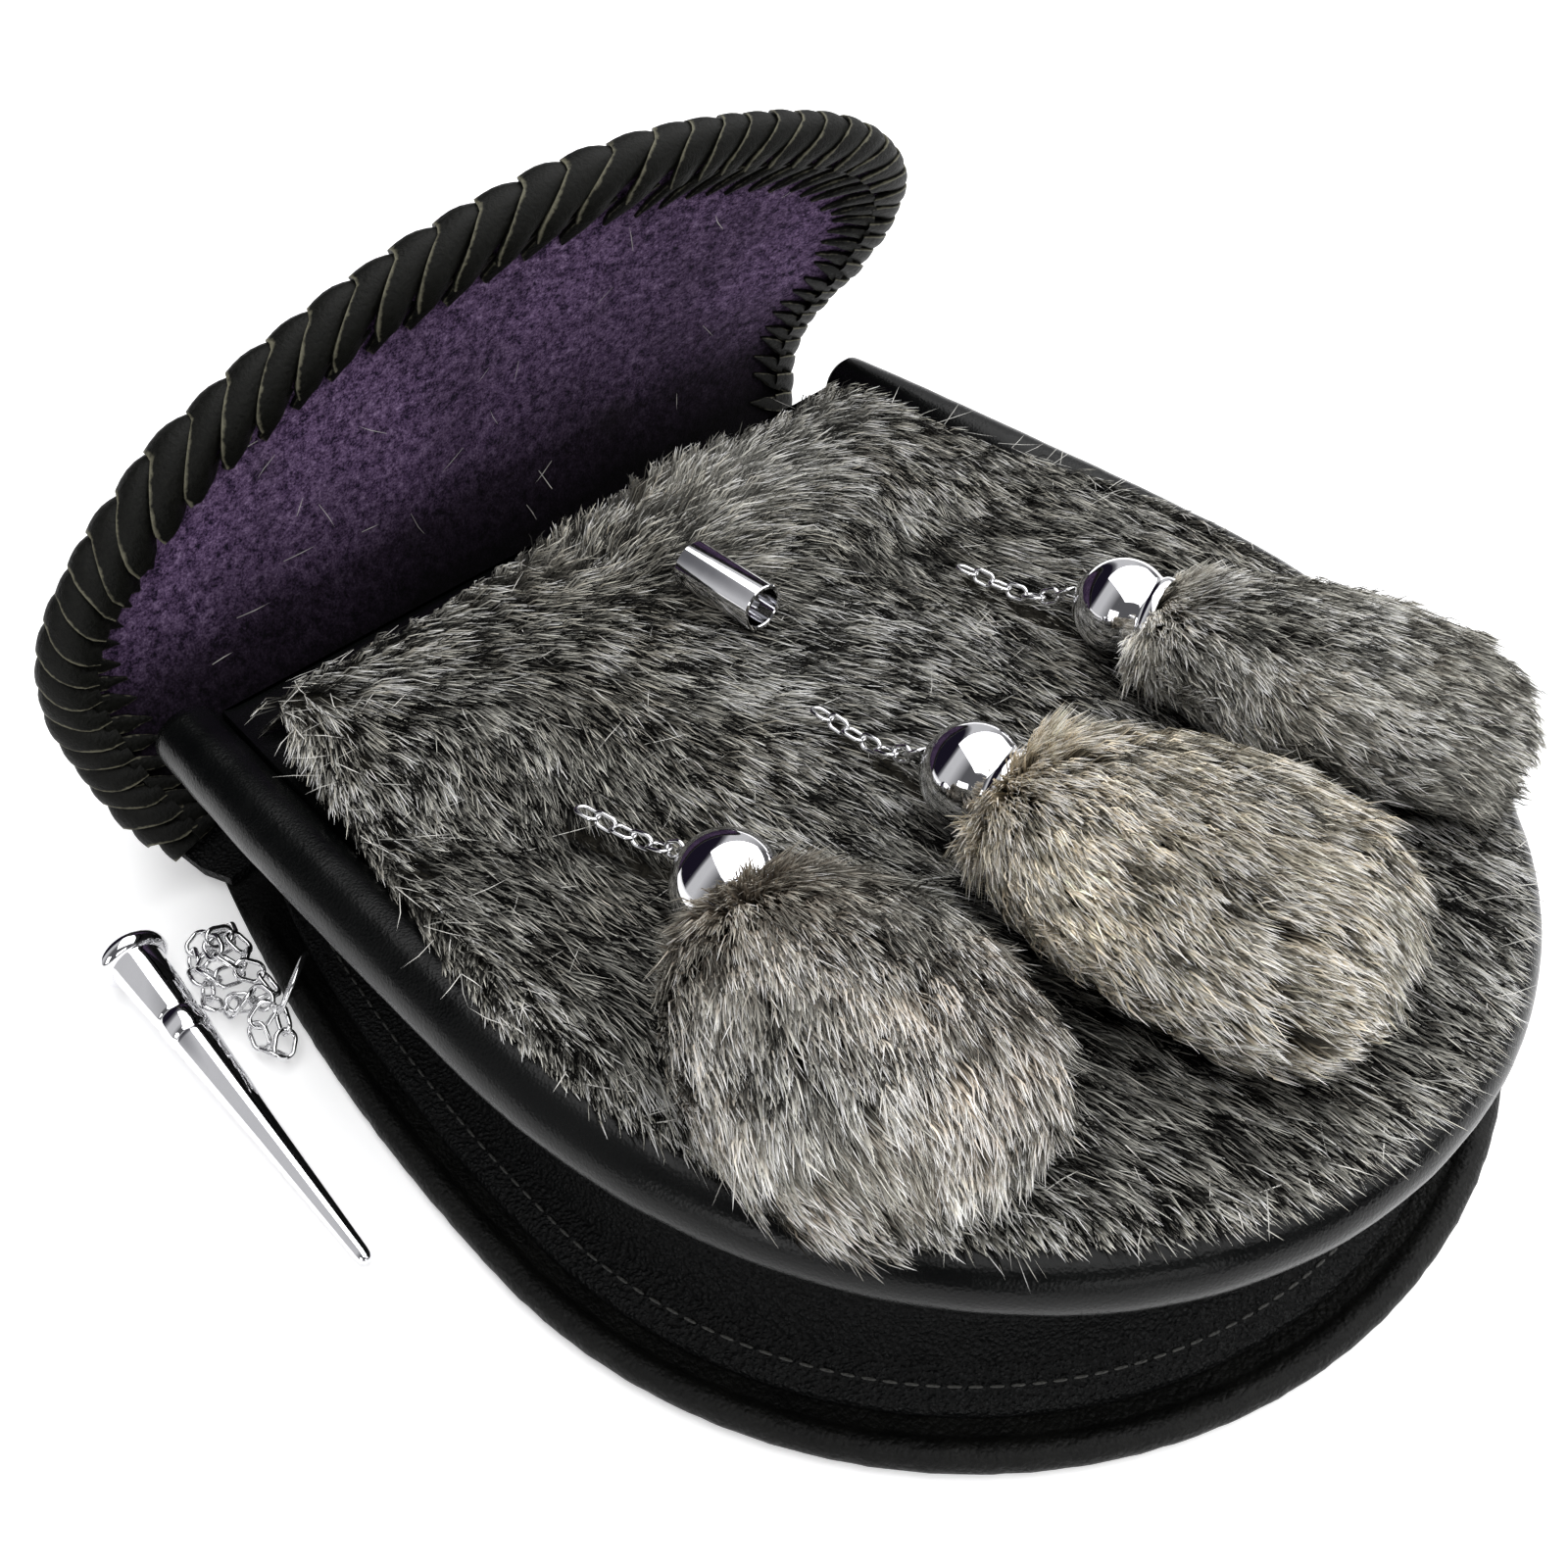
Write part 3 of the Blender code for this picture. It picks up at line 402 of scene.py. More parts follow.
# How each tassel's hair is coloured: root tint, tip tint, brown share, shade, patch strength, end's shade
TASSEL_HAIR = {
    "left": ((0.66, 0.46, 0.30), (1.0, 0.96, 0.84), 0.62, 0.76, 0.55, 2.6),
    "centre": ((0.86, 0.67, 0.45), (1.0, 0.94, 0.75), 0.78, 2.3, 0.30, 0.85),
    "right": ((0.74, 0.58, 0.40), (1.0, 0.98, 0.86), 0.42, 1.2, 0.45, 0.6),
}
SLOTS = {"left": "brown_fur", "centre": "tan_fur", "right": "dark_fur"}
TASSEL_CORE_AT = (-0.09, -0.02, 0.03, 0.1, 0.2, 0.32, 0.45, 0.6, 0.75, 0.86, 0.93)
TASSEL_CORE_IN = 2.6 * MM
TASSEL_TRIES = 6000
TASSEL_SPREAD = (-0.01, 0.10, 0.32, 0.56, 0.81, 1.0)
TASSEL_CLUMPS = 1800
TASSEL_PER_CLUMP = 20
TASSEL_HAIR_WIDTH = 0.275 * MM


# Node materials

def set_ramp(node, stops):
    """Gives a colour ramp its stops, each a position and a colour or a grey level."""
    elements = node.color_ramp.elements
    while len(elements) < len(stops):
        elements.new(0.5)
    for element, (at, colour) in zip(elements, stops):
        element.position = at
        element.color = (*colour, 1.0) if isinstance(colour, tuple) else (colour, colour, colour, 1.0)


class Look:
    """A procedural material under construction, with every length in metres."""

    def __init__(self, name):
        self.made = bpy.data.materials.new(name)
        self.made.use_nodes = True
        self.tree = self.made.node_tree
        self.shader = self.tree.nodes["Principled BSDF"]
        self.place = self.tree.nodes.new("ShaderNodeTexCoord").outputs["Object"]

    def node(self, kind, **settings):
        node = self.tree.nodes.new(kind)
        for name, value in settings.items():
            setattr(node, name, value)
        return node

    def put(self, socket, value):
        """Links a node's output to the socket, or else sets its value."""
        if isinstance(value, bpy.types.NodeSocket):
            self.tree.links.new(value, socket)
        else:
            socket.default_value = value

    def noise(self, size, detail=3.0, stretch=None, rough=0.55):
        node = self.node("ShaderNodeTexNoise")
        self.put(node.inputs["Vector"], self.stretched(stretch))
        node.inputs["Scale"].default_value = 1.0 / size
        node.inputs["Detail"].default_value = detail
        node.inputs["Roughness"].default_value = rough
        return node.outputs["Fac"]

    def cells(self, size):
        node = self.node("ShaderNodeTexVoronoi")
        self.put(node.inputs["Vector"], self.warped(size))
        node.inputs["Scale"].default_value = 1.0 / size
        return node.outputs["Distance"]

    def warped(self, size):
        """The place moved about by a share of the size, so that cells aren't regular."""
        noise = self.node("ShaderNodeTexNoise")
        self.put(noise.inputs["Vector"], self.place)
        noise.inputs["Scale"].default_value = 0.4 / size
        scaled = self.node("ShaderNodeVectorMath", operation="SCALE")
        self.put(scaled.inputs[0], noise.outputs["Color"])
        scaled.inputs["Scale"].default_value = size
        added = self.node("ShaderNodeVectorMath", operation="ADD")
        self.put(added.inputs[0], self.place)
        self.put(added.inputs[1], scaled.outputs["Vector"])
        return added.outputs["Vector"]

    def stretched(self, stretch):
        if not stretch:
            return self.place
        node = self.node("ShaderNodeMapping")
        self.put(node.inputs["Vector"], self.place)
        node.inputs["Scale"].default_value = stretch
        return node.outputs["Vector"]

    def ramp(self, factor, *stops):
        node = self.node("ShaderNodeValToRGB")
        self.put(node.inputs["Fac"], factor)
        set_ramp(node, stops)
        return node.outputs["Color"]

    def mix(self, factor, first, second, kind="MIX"):
        node = self.node("ShaderNodeMix", data_type="RGBA", blend_type=kind)
        self.put(node.inputs["Factor"], factor)
        for socket, value in ((node.inputs["A"], first), (node.inputs["B"], second)):
            self.put(socket, (*value, 1.0) if isinstance(value, tuple) else value)
        return node.outputs["Result"]

    def sum(self, *pairs):
        """The total of (value, share) pairs."""
        total = None
        for value, share in pairs:
            scaled = self.node("ShaderNodeMath", operation="MULTIPLY")
            self.put(scaled.inputs[0], value)
            scaled.inputs[1].default_value = share
            if total is None:
                total = scaled.outputs["Value"]
                continue
            added = self.node("ShaderNodeMath", operation="ADD")
            self.put(added.inputs[0], total)
            self.put(added.inputs[1], scaled.outputs["Value"])
            total = added.outputs["Value"]
        return total

    def attribute(self, name, output="Color"):
        return self.node("ShaderNodeAttribute", attribute_name=name).outputs[output]

    def bump(self, height, depth, strength=1.0):
        node = self.node("ShaderNodeBump")
        self.put(node.inputs["Height"], height)
        node.inputs["Distance"].default_value = depth
        node.inputs["Strength"].default_value = strength
        self.put(self.shader.inputs["Normal"], node.outputs["Normal"])

    def finish(self, colour, roughness, **others):
        base = (*colour, 1.0) if isinstance(colour, tuple) else colour
        self.put(self.shader.inputs["Base Color"], base)
        self.put(self.shader.inputs["Roughness"], roughness)
        sockets = {socket.name.lower().replace(" ", "_"): socket for socket in self.shader.inputs}
        for name, value in others.items():
            sockets[name].default_value = value
        return self.made


def smooth_leather():
    """The rim's and the front's dyed leather: almost smooth, with a faint grain and dull patches."""
    look = Look("smooth_black_leather")
    wear = look.noise(14 * MM, 4.0)
    grain = look.cells(0.55 * MM)
    fine = look.noise(0.35 * MM, 2.0)
    colour = look.ramp(wear, (0.35, (0.0008, 0.0010, 0.0010)), (0.7, (0.0018, 0.0021, 0.0020)))
    rough = look.ramp(look.sum((wear, 0.7), (fine, 0.3)), (0.3, 0.2), (0.7, 0.32))
    look.bump(look.sum((grain, 0.6), (fine, 0.4)), 0.12 * MM, 0.45)
    return look.finish(colour, rough, specular_ior_level=0.17)


def grained_leather():
    """The gusset's pebbled leather."""
    look = Look("grained_black_leather")
    pebbles = look.cells(0.75 * MM)
    small = look.cells(0.4 * MM)
    wear = look.noise(16 * MM, 3.0)
    height = look.sum((pebbles, -1.0), (small, -0.35), (look.noise(0.3 * MM, 2.0), 0.15))
    tops = look.ramp(pebbles, (0.1, (0.0042, 0.0050, 0.0052)), (0.62, (0.0004, 0.0005, 0.0005)))
    colour = look.mix(wear, tops, (0.0012, 0.0014, 0.0014))
    rough = look.ramp(pebbles, (0.1, 0.32), (0.7, 0.6))
    look.bump(height, 0.42 * MM, 1.0)
    return look.finish(colour, rough, specular_ior_level=0.17)


def edge_leather():
    """The back panel and its rolled edge, with tiny wrinkles across the roll."""
    look = Look("rolled_black_leather")
    pebbles = look.cells(0.8 * MM)
    wrinkles = look.noise(0.9 * MM, 4.0, rough=0.7)
    wear = look.noise(7 * MM, 4.0)
    colour = look.ramp(wear, (0.35, (0.0014, 0.0015, 0.0013)), (0.75, (0.0050, 0.0051, 0.0044)))
    rough = look.ramp(wrinkles, (0.3, 0.36), (0.75, 0.6))
    look.bump(look.sum((wrinkles, 1.0), (pebbles, -0.5)), 0.35 * MM, 0.85)
    return look.finish(colour, rough, specular_ior_level=0.16)


def lace_leather():
    """Waxed laces with paler raw edges."""
    look = Look("lace_leather")
    raw = look.attribute("raw_edge", "Fac")
    streaks = look.noise(0.8 * MM, 4.0, rough=0.65)
    worn = look.noise(3.2 * MM, 3.0, rough=0.6)
    colour = look.ramp(streaks, (0.3, (0.0010, 0.0011, 0.0008)), (0.75, (0.0052, 0.0054, 0.0040)))
    frayed = look.ramp(look.sum((raw, 0.5), (streaks, 0.23), (worn, 0.5)), (0.64, 0.0), (0.84, 1.0))
    colour = look.mix(frayed, colour, (0.12, 0.115, 0.082))
    rough = look.ramp(streaks, (0.3, 0.42), (0.8, 0.62))
    look.bump(streaks, 0.35 * MM, 0.8)
    return look.finish(colour, rough, specular_ior_level=0.13)


def suede():
    """Napped purple suede, speckled with dark pits and pale fibres, with painted shade that darkens it
    towards the fold.
    """
    look = Look("purple_suede")
    pits = look.noise(2.2 * MM, 6.0, rough=0.8)
    blotches = look.noise(22 * MM, 4.0)
    fibres = look.noise(0.5 * MM, 3.0, (1.0, 0.35, 1.0), rough=0.7)
    nap = look.sum((pits, 0.6), (fibres, 0.4))
    colour = look.ramp(
        nap,
        (0.42, (0.008, 0.005, 0.016)),
        (0.48, (0.078, 0.044, 0.106)),
        (0.55, (0.175, 0.112, 0.220)),
        (0.63, (0.34, 0.25, 0.40)),
    )
    shade = look.ramp(blotches, (0.3, 0.62), (0.7, 1.1))
    colour = look.mix(1.0, colour, shade, "MULTIPLY")
    smudge = look.ramp(look.noise(30 * MM, 2.0), (0.60, 0.0), (0.72, 0.4))
    colour = look.mix(smudge, colour, (0.035, 0.034, 0.034))
    # Painted shade: the lower the suede lies, towards the fold, the darker it is made, as if shaded by the
    # pouch.
    height = look.node("ShaderNodeSeparateXYZ")
    look.put(height.inputs["Vector"], look.place)
    fold_shade = look.ramp(
        look.sum((height.outputs["Z"], 10.0)), (0.20, 0.012), (0.33, 0.12), (0.45, 0.66), (0.57, 1.0)
    )
    colour = look.mix(1.0, colour, fold_shade, "MULTIPLY")
    look.bump(nap, 0.55 * MM, 0.9)
    return look.finish(colour, 0.95, specular_ior_level=0.05, sheen_weight=0.03, sheen_roughness=0.5)


def thread():
    look = Look("stitch_thread")
    twist = look.noise(0.4 * MM, 2.0)
    colour = look.ramp(twist, (0.3, (0.012, 0.012, 0.011)), (0.8, (0.07, 0.07, 0.062)))
    look.bump(twist, 0.1 * MM, 0.6)
    return look.finish(colour, 0.6)


def chrome(name, tint, rough_low, rough_high):
    """Plated metal with faint handling marks."""
    look = Look(name)
    marks = look.noise(5 * MM, 6.0, rough=0.7)
    rough = look.ramp(marks, (0.35, rough_low), (0.75, rough_high))
    colour = look.ramp(marks, (0.3, tint), (0.8, tuple(value * 0.94 for value in tint)))
    look.bump(look.noise(9 * MM, 2.0), 0.05 * MM, 0.25)
    return look.finish(colour, rough, metallic=1.0)


def hair_look(name):
    """Hair coloured along each strand by the mesh's own colour attribute."""
    look = Look(name)
    colour = look.attribute("hair")
    glint = look.noise(6 * MM, 2.0)
    rough = look.ramp(glint, (0.3, 0.5), (0.7, 0.62))
    return look.finish(colour, rough, specular_ior_level=0.06)


def hide_gap_shade_look():
    """The hide between the roots of the hair, kept near black as painted shade in the gaps between clumps.
    """
    look = Look("hide")
    speckle = look.noise(1.2 * MM, 4.0)
    # Painted shade: near black, so that the hide seen between clumps reads as shadow.
    colour = look.ramp(speckle, (0.3, (0.004, 0.0037, 0.003)), (0.75, (0.026, 0.024, 0.019)))
    look.bump(speckle, 1.0 * MM, 1.0)
    return look.finish(colour, 0.95, specular_ior_level=0.03)


def floor_look():
    look = Look("pale_floor")
    tone = look.noise(0.4, 2.0)
    colour = look.ramp(tone, (0.3, (0.9, 0.9, 0.9)), (0.7, (0.92, 0.92, 0.92)))
    white = (1.0, 1.0, 1.0, 1.0)
    return look.finish(
        colour, 0.75, specular_ior_level=0.2, emission_color=white, emission_strength=FLOOR_GLOW
    )


# Mesh building

def add_piece(name, mesh, nodes, slot_name, look, smooth_deg=None):
    """A piece that rides on the pouch, stands for its CAD nodes and has its material."""
    obj = bpy.data.objects.new(name, mesh)
    bpy.context.scene.collection.objects.link(obj)
    mesh.materials.append(look)
    if smooth_deg:
        mesh.polygons.foreach_set("use_smooth", [True] * len(mesh.polygons))
        mesh.set_sharp_from_angle(angle=math.radians(smooth_deg))
    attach(obj, "root")
    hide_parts(*nodes)
    return obj


def mesh_of(name, points, faces):
    mesh = bpy.data.meshes.new(name)
    mesh.from_pydata([tuple(point) for point in points], [], [tuple(face) for face in faces])
    shape = bmesh.new()
    shape.from_mesh(mesh)
    bmesh.ops.recalc_face_normals(shape, faces=shape.faces)
    shape.to_mesh(mesh)
    shape.free()
    return mesh


def loft_faces(rings, sides, first=0):
    faces = [tuple(range(first, first + sides))]
    for low in range(first, first + (rings - 1) * sides, sides):
        for side in range(sides):
            after = (side + 1) % sides
            faces.append((low + side, low + after, low + sides + after, low + sides + side))
    faces.append(tuple(range(first + (rings - 1) * sides, first + rings * sides)))
    return faces


def loft(name, rings):
    """A closed body through an array of rings (ring, point, xyz)."""
    rings = np.asarray(rings)
    return mesh_of(name, rings.reshape(-1, 3), loft_faces(len(rings), rings.shape[1]))


def even_steps(fine, count):
    """As many points at equal steps along a finely drawn line."""
    fine = np.asarray(fine, float)
    run = np.concatenate([[0.0], np.cumsum(np.linalg.norm(np.diff(fine, axis=0), axis=1))])
    want = np.linspace(0.0, run[-1], count)
    return np.stack([np.interp(want, run, column) for column in fine.T], axis=1)


def unit(vectors):
    return vectors / np.maximum(np.linalg.norm(vectors, axis=-1, keepdims=True), 1e-12)


def outline_points(outline, count):
    """Evenly spaced (x, down) from the right end of the mouth, round the bottom, to its left end."""
    mouth, half, widest_down, length, power = outline
    part = np.linspace(0.0, 1.0, 60, endpoint=False)
    straight = np.stack([mouth + (half - mouth) * (1 - (1 - part) ** 2), widest_down * part], axis=1)
    angle = np.linspace(0.0, math.pi / 2, 181)
    side = half * np.maximum(np.cos(angle), 0.0) ** (2 / power)
    side[-1] = 0.0
    down = widest_down + (length - widest_down) * np.sin(angle) ** (2 / power)
    right = np.concatenate([straight, np.stack([side, down], axis=1)])
    left = right[-2::-1] * (-1, 1)
    return even_steps(np.concatenate([right, left]), count)


def outward_normals(points):
    """Unit normals of an outline from the right end of the mouth to its left end, level at its ends."""
    index = np.arange(len(points))
    before = points[np.maximum(index - 1, 0)]
    after = points[np.minimum(index + 1, len(points) - 1)]
    run = after - before
    run /= np.linalg.norm(run, axis=1)[:, None]
    ease = np.minimum(points[:, 1] / SLANT_REACH, 1.0)
    return np.stack([run[:, 1], -run[:, 0] * ease], axis=1)


def placed(flat, height):
    """Points in the row frame from (x, down) and heights."""
    height = np.broadcast_to(height, len(flat))
    return np.stack([flat[:, 0], MOUTH_Y - flat[:, 1], height], axis=1)


def mouth_point(x, down, height):
    return Vector((x, MOUTH_Y - down, height))


def ripple(count, periods, chance, octaves=4):
    """A smooth random line of that many values, about -1 to 1."""
    t = np.linspace(0.0, 1.0, count)
    total = np.zeros(count)
    for octave in range(octaves):
        rate = periods * 1.7**octave
        total += np.sin(math.tau * (rate * t + chance.random())) * 0.6**octave
    return total / 1.7


def spline_rows(rows, steps):
    """Catmull-Rom through an array of rows, with that many steps between each two."""
    rows = np.asarray(rows)
    found = []
    for index in range(len(rows) - 1):
        before, start = rows[max(index - 1, 0)], rows[index]
        end, after = rows[index + 1], rows[min(index + 2, len(rows) - 1)]
        for step in range(steps):
            t = step / steps
            found.append(
                0.5
                * (
                    2 * start
                    + (end - before) * t
                    + (2 * before - 5 * start + 4 * end - after) * t * t
                    + (3 * start - before - 3 * end + after) * t**3
                )
            )
    found.append(rows[-1])
    return np.array(found)


def fold_down(x):
    return -(FOLD_Y + FOLD_SKEW * x)


# Leather body

def build_back_panel(look):
    chance = np.random.default_rng(SEED)
    stations = 300
    points = outline_points(BACK_OUTLINE, stations)
    normals = outward_normals(points)
    pucker = ripple(stations, 70, chance) * 0.10 * MM
    profile = []
    for angle in np.radians(np.linspace(-90, 150, 13)):
        profile.append((ROLL_RADIUS * (1 - math.cos(angle)), ROLL_RADIUS * (1 + math.sin(angle))))
    profile.append((ROLL_INNER * ROLL_RADIUS, PANEL_THICK))
    roll = np.clip((points[:, 1] - ROLL_FROM) / ROLL_REACH, 0.0, 1.0)
    rings = []
    for inset, height in profile:
        share = min(height / ROLL_RADIUS, 1.0)
        around = points - normals * (inset + pucker * share * roll)[:, None]
        flat = min(height, PANEL_THICK)
        side = placed(around, flat + (height - flat) * roll)
        across = np.linspace(around[-1, 0], around[0, 0], 26)[1:-1]
        top = placed(np.stack([across, fold_down(across) + inset], axis=1), flat)
        ends = around[[-1, 0], 0]
        corners = placed(np.stack([ends, fold_down(ends) + inset], axis=1), flat)
        rings.append(np.concatenate([side, corners[:1], top, corners[1:]]))
    mesh = loft("back_panel_leather", rings)
    add_piece("back_panel_leather", mesh, ["back_panel"], "black_leather", look, 55)


def gusset_wall(stations):
    """The gusset wall's outer face as rows from foot to rim (row, station, xyz)."""
    low = PANEL_THICK + GAP
    top = RIM_HEIGHT - RIM_RADIUS - GAP
    heel = ROLL_INNER * ROLL_RADIUS + SEAM_GROOVE + FOOT_WIDTH
    sections = []
    for outline in (BACK_OUTLINE, RIM_OUTLINE):
        points = outline_points(outline, stations)
        sections.append((points, outward_normals(points)))
    rows = []
    for share, on_rim, tuck in GUSSET_WALL:
        points, normals = sections[on_rim]
        inset = GUSSET_TOP_INSET + GUSSET_TUCK * tuck if on_rim else heel
        rows.append(slanted(points - normals * inset, low + (top - low) * share))
    return rows, sections


def slanted(flat, height):
    """Points of the gusset, which slants back towards the mouth's fold low down."""
    top = RIM_HEIGHT - RIM_RADIUS - GAP
    ease = np.maximum(0.0, 1.0 - flat[:, 1] / SLANT_REACH) ** 2
    flat = flat + np.stack([0 * ease, GUSSET_SLANT * ease * (1.0 - height / top)], axis=1)
    return placed(flat, height)


def build_gusset(look):
    chance = np.random.default_rng(SEED + 1)
    stations = 320
    rows, sections = gusset_wall(stations)
    low = PANEL_THICK + GAP
    edge = ROLL_INNER * ROLL_RADIUS + SEAM_GROOVE
    heel = edge + FOOT_WIDTH
    back, back_normals = sections[0]
    wall = spline_rows(rows, 6)
    out = np.concatenate([sections[1][1] * (1, -1), np.zeros((stations, 1))], axis=1)
    place = np.linspace(0.0, 1.0, stations)
    wave = ripple(stations, 5, chance) * 0.35 * MM + ripple(stations, 23, chance) * 0.12 * MM
    for at, width, depth in GUSSET_CREASES:
        wave -= depth * np.exp(-((place - at) / width) ** 2)
        wave += depth * 0.5 * np.exp(-((place - at - 2.2 * width) / (1.6 * width)) ** 2)
    for index in range(len(wall)):
        share = math.sin(math.pi * index / (len(wall) - 1))
        wall[index] += out * (wave * share)[:, None]
    foot = []
    for inset, height in (
        (edge, low),
        (edge, low + 0.6 * GUSSET_THICK),
        (edge + 0.3 * GUSSET_THICK, low + 0.92 * GUSSET_THICK),
        (edge + 0.8 * FOOT_WIDTH, low + GUSSET_THICK),
        (heel - GUSSET_THICK, low + 1.1 * GUSSET_THICK),
    ):
        foot.append(slanted(back - back_normals * inset, height))
    inner = [row - out * GUSSET_THICK for row in wall[::-1]]
    inner.append(slanted(back - back_normals * (heel + GUSSET_THICK), low))
    rings = np.stack(foot + list(wall) + inner, axis=1)
    add_piece("gusset_leather", loft("gusset_leather", rings), ["gusset"], "black_leather", look, 70)


def capsule_row(name, starts, ends, ups, width):
    """Short rounded stitches as one mesh: six sides, tapered ends."""
    sides = 6
    shares = ((0.0, 0.35), (0.15, 0.9), (0.5, 1.0), (0.85, 0.9), (1.0, 0.35))
    points = []
    faces = []
    for start, end, up in zip(starts, ends, ups):
        first = len(points)
        along = end - start
        side = np.cross(along, up)
        side /= np.linalg.norm(side)
        for at, wide in shares:
            for step in range(sides):
                angle = math.tau * step / sides
                reach = side * math.cos(angle) + up * math.sin(angle) * 0.7
                points.append(start + along * at + reach * (wide * width / 2))
        faces += loft_faces(len(shares), sides, first)
    return mesh_of(name, points, faces)


def build_gusset_stitching(look):
    """The seam that sews the gusset's foot to the back panel."""
    inset = ROLL_INNER * ROLL_RADIUS + SEAM_GROOVE + 0.42 * FOOT_WIDTH
    points = outline_points(BACK_OUTLINE, 700)
    flat = points - outward_normals(points) * inset
    height = PANEL_THICK + GAP + GUSSET_THICK + 0.05 * MM
    line = slanted(flat, height)
    run = np.sum(np.linalg.norm(np.diff(line, axis=0), axis=1))
    count = int(run / STITCH_PITCH)
    even = even_steps(line, count * 2 + 1)
    starts, ends = even[1:-1:2], even[2::2]
    middle = (starts + ends) / 2
    along = (ends - starts) / np.linalg.norm(ends - starts, axis=1)[:, None]
    starts = middle - along * STITCH_LENGTH / 2
    ends = middle + along * STITCH_LENGTH / 2
    ups = np.tile((0.0, 0.0, 1.0), (len(starts), 1))
    mesh = capsule_row("gusset_stitching", starts, ends, ups, STITCH_WIDTH)
    add_piece("gusset_stitching", mesh, [], "black_leather", look, 50)


def build_front_rim(look):
    """The padded roll, very slightly uneven, with rounded ends at the mouth."""
    chance = np.random.default_rng(SEED + 2)
    stations, sides = 280, 28
    points = outline_points(RIM_OUTLINE, stations)
    normals = outward_normals(points)
    swell = RIM_RADIUS * (1 + 0.012 * ripple(stations, 9, chance) + 0.006 * ripple(stations, 31, chance))
    rings = []
    for index in range(stations):
        radius = swell[index]
        ring = []
        for side in range(sides):
            angle = math.tau * (side + 0.5) / sides
            out = radius * math.cos(angle)
            flat = points[index] + normals[index] * out
            ring.append((flat[0], MOUTH_Y - flat[1], RIM_HEIGHT + radius * math.sin(angle)))
        rings.append(np.array(ring))
    for end in (0, -1):
        middle = rings[end].mean(axis=0)
        away = (middle - rings[1 if end == 0 else -2].mean(axis=0)) * (1, 1, 0)
        away /= np.linalg.norm(away)
        caps = []
        for degrees in (35, 62, 82):
            share = math.cos(math.radians(degrees))
            beyond = away * RIM_RADIUS * 0.35 * math.sin(math.radians(degrees))
            caps.append(middle + (rings[end] - middle) * share + beyond)
        rings = caps[::-1] + rings if end == 0 else rings + caps
    mesh = loft("front_rim_roll", rings)
    obj = add_piece("front_rim_roll", mesh, ["front_rim"], "black_leather", look, 70)


def inset_outline(outline, count, inset):
    points = outline_points(outline, count)
    amount = inset(points[:, 1]) if callable(inset) else inset
    return points - outward_normals(points) * np.broadcast_to(amount, len(points))[:, None]


def build_front_panel(look):
    """The leather strip beside the pelt, which turns up where it meets the rim."""
    rings = []
    for inset, height in (
        (0.3 * MM, FRONT_TOP - FRONT_THICK),
        (0.3 * MM, FRONT_TOP + 0.2 * MM),
        (0.7 * MM, FRONT_TOP + 0.7 * MM),
        (1.6 * MM, FRONT_TOP + 0.35 * MM),
        (3.2 * MM, FRONT_TOP + 0.05 * MM),
        (6.0 * MM, FRONT_TOP),
    ):
        around = inset_outline(RIM_OUTLINE, 240, RIM_RADIUS + inset)
        rings.append(placed(around, height))
    mesh = loft("front_panel_leather", rings)
    add_piece("front_panel_leather", mesh, ["front_panel"], "black_leather", look, 50)


# Flap

def flap_middle(u, v):
    """The flap's own surface between leather and lining. u is across, v is along it from the fold."""
    aside = u / FLAP_HALF
    bent = v * (1.0 + FLAP_SKEW * aside) if v > 0 else v
    y = MOUTH_Y - fold_down(u)
    z = PANEL_THICK + GAP + FLAP_LEATHER
    if bent <= 0:
        return np.array((u, y + bent, z))
    lean = FLAP_LEAN_DEG + FLAP_TWIST_DEG * aside
    along = (np.arange(16) + 0.5) / 16 * bent
    mix = 1.0 / (1.0 + np.exp(-(along - FLAP_BEND_AT) / FLAP_BEND_SOFT))
    angle = np.radians(FLAP_START_DEG + (lean - FLAP_START_DEG) * mix)
    cup = FLAP_CUP_LEFT if u < 0 else FLAP_CUP_RIGHT
    y += np.cos(angle).mean() * bent - cup * aside**2 * min(bent / FLAP_CUP_REACH, 1.0)
    return np.array((u, y, z + np.sin(angle).mean() * bent))


def flap_normal(u, v):
    step = 0.5 * MM
    along = flap_middle(u, v + step) - flap_middle(u, v - step)
    across = flap_middle(u + step, v) - flap_middle(u - step, v)
    normal = np.cross(across, along)
    return normal / np.linalg.norm(normal)


def flap_half_width(v):
    if v <= 0:
        return FLAP_NECK + (FLAP_LAP_HALF - FLAP_NECK) * min(-v / FLAP_LAP, 1.0)
    if v < FLAP_WIDEST_AT:
        return FLAP_NECK + (FLAP_HALF - FLAP_NECK) * math.sin(math.pi / 2 * v / FLAP_WIDEST_AT)
    part = min((v - FLAP_WIDEST_AT) / (FLAP_LENGTH - FLAP_WIDEST_AT), 1.0)
    return FLAP_HALF * (1.0 - part**FLAP_POWER) ** (1 / FLAP_POWER)


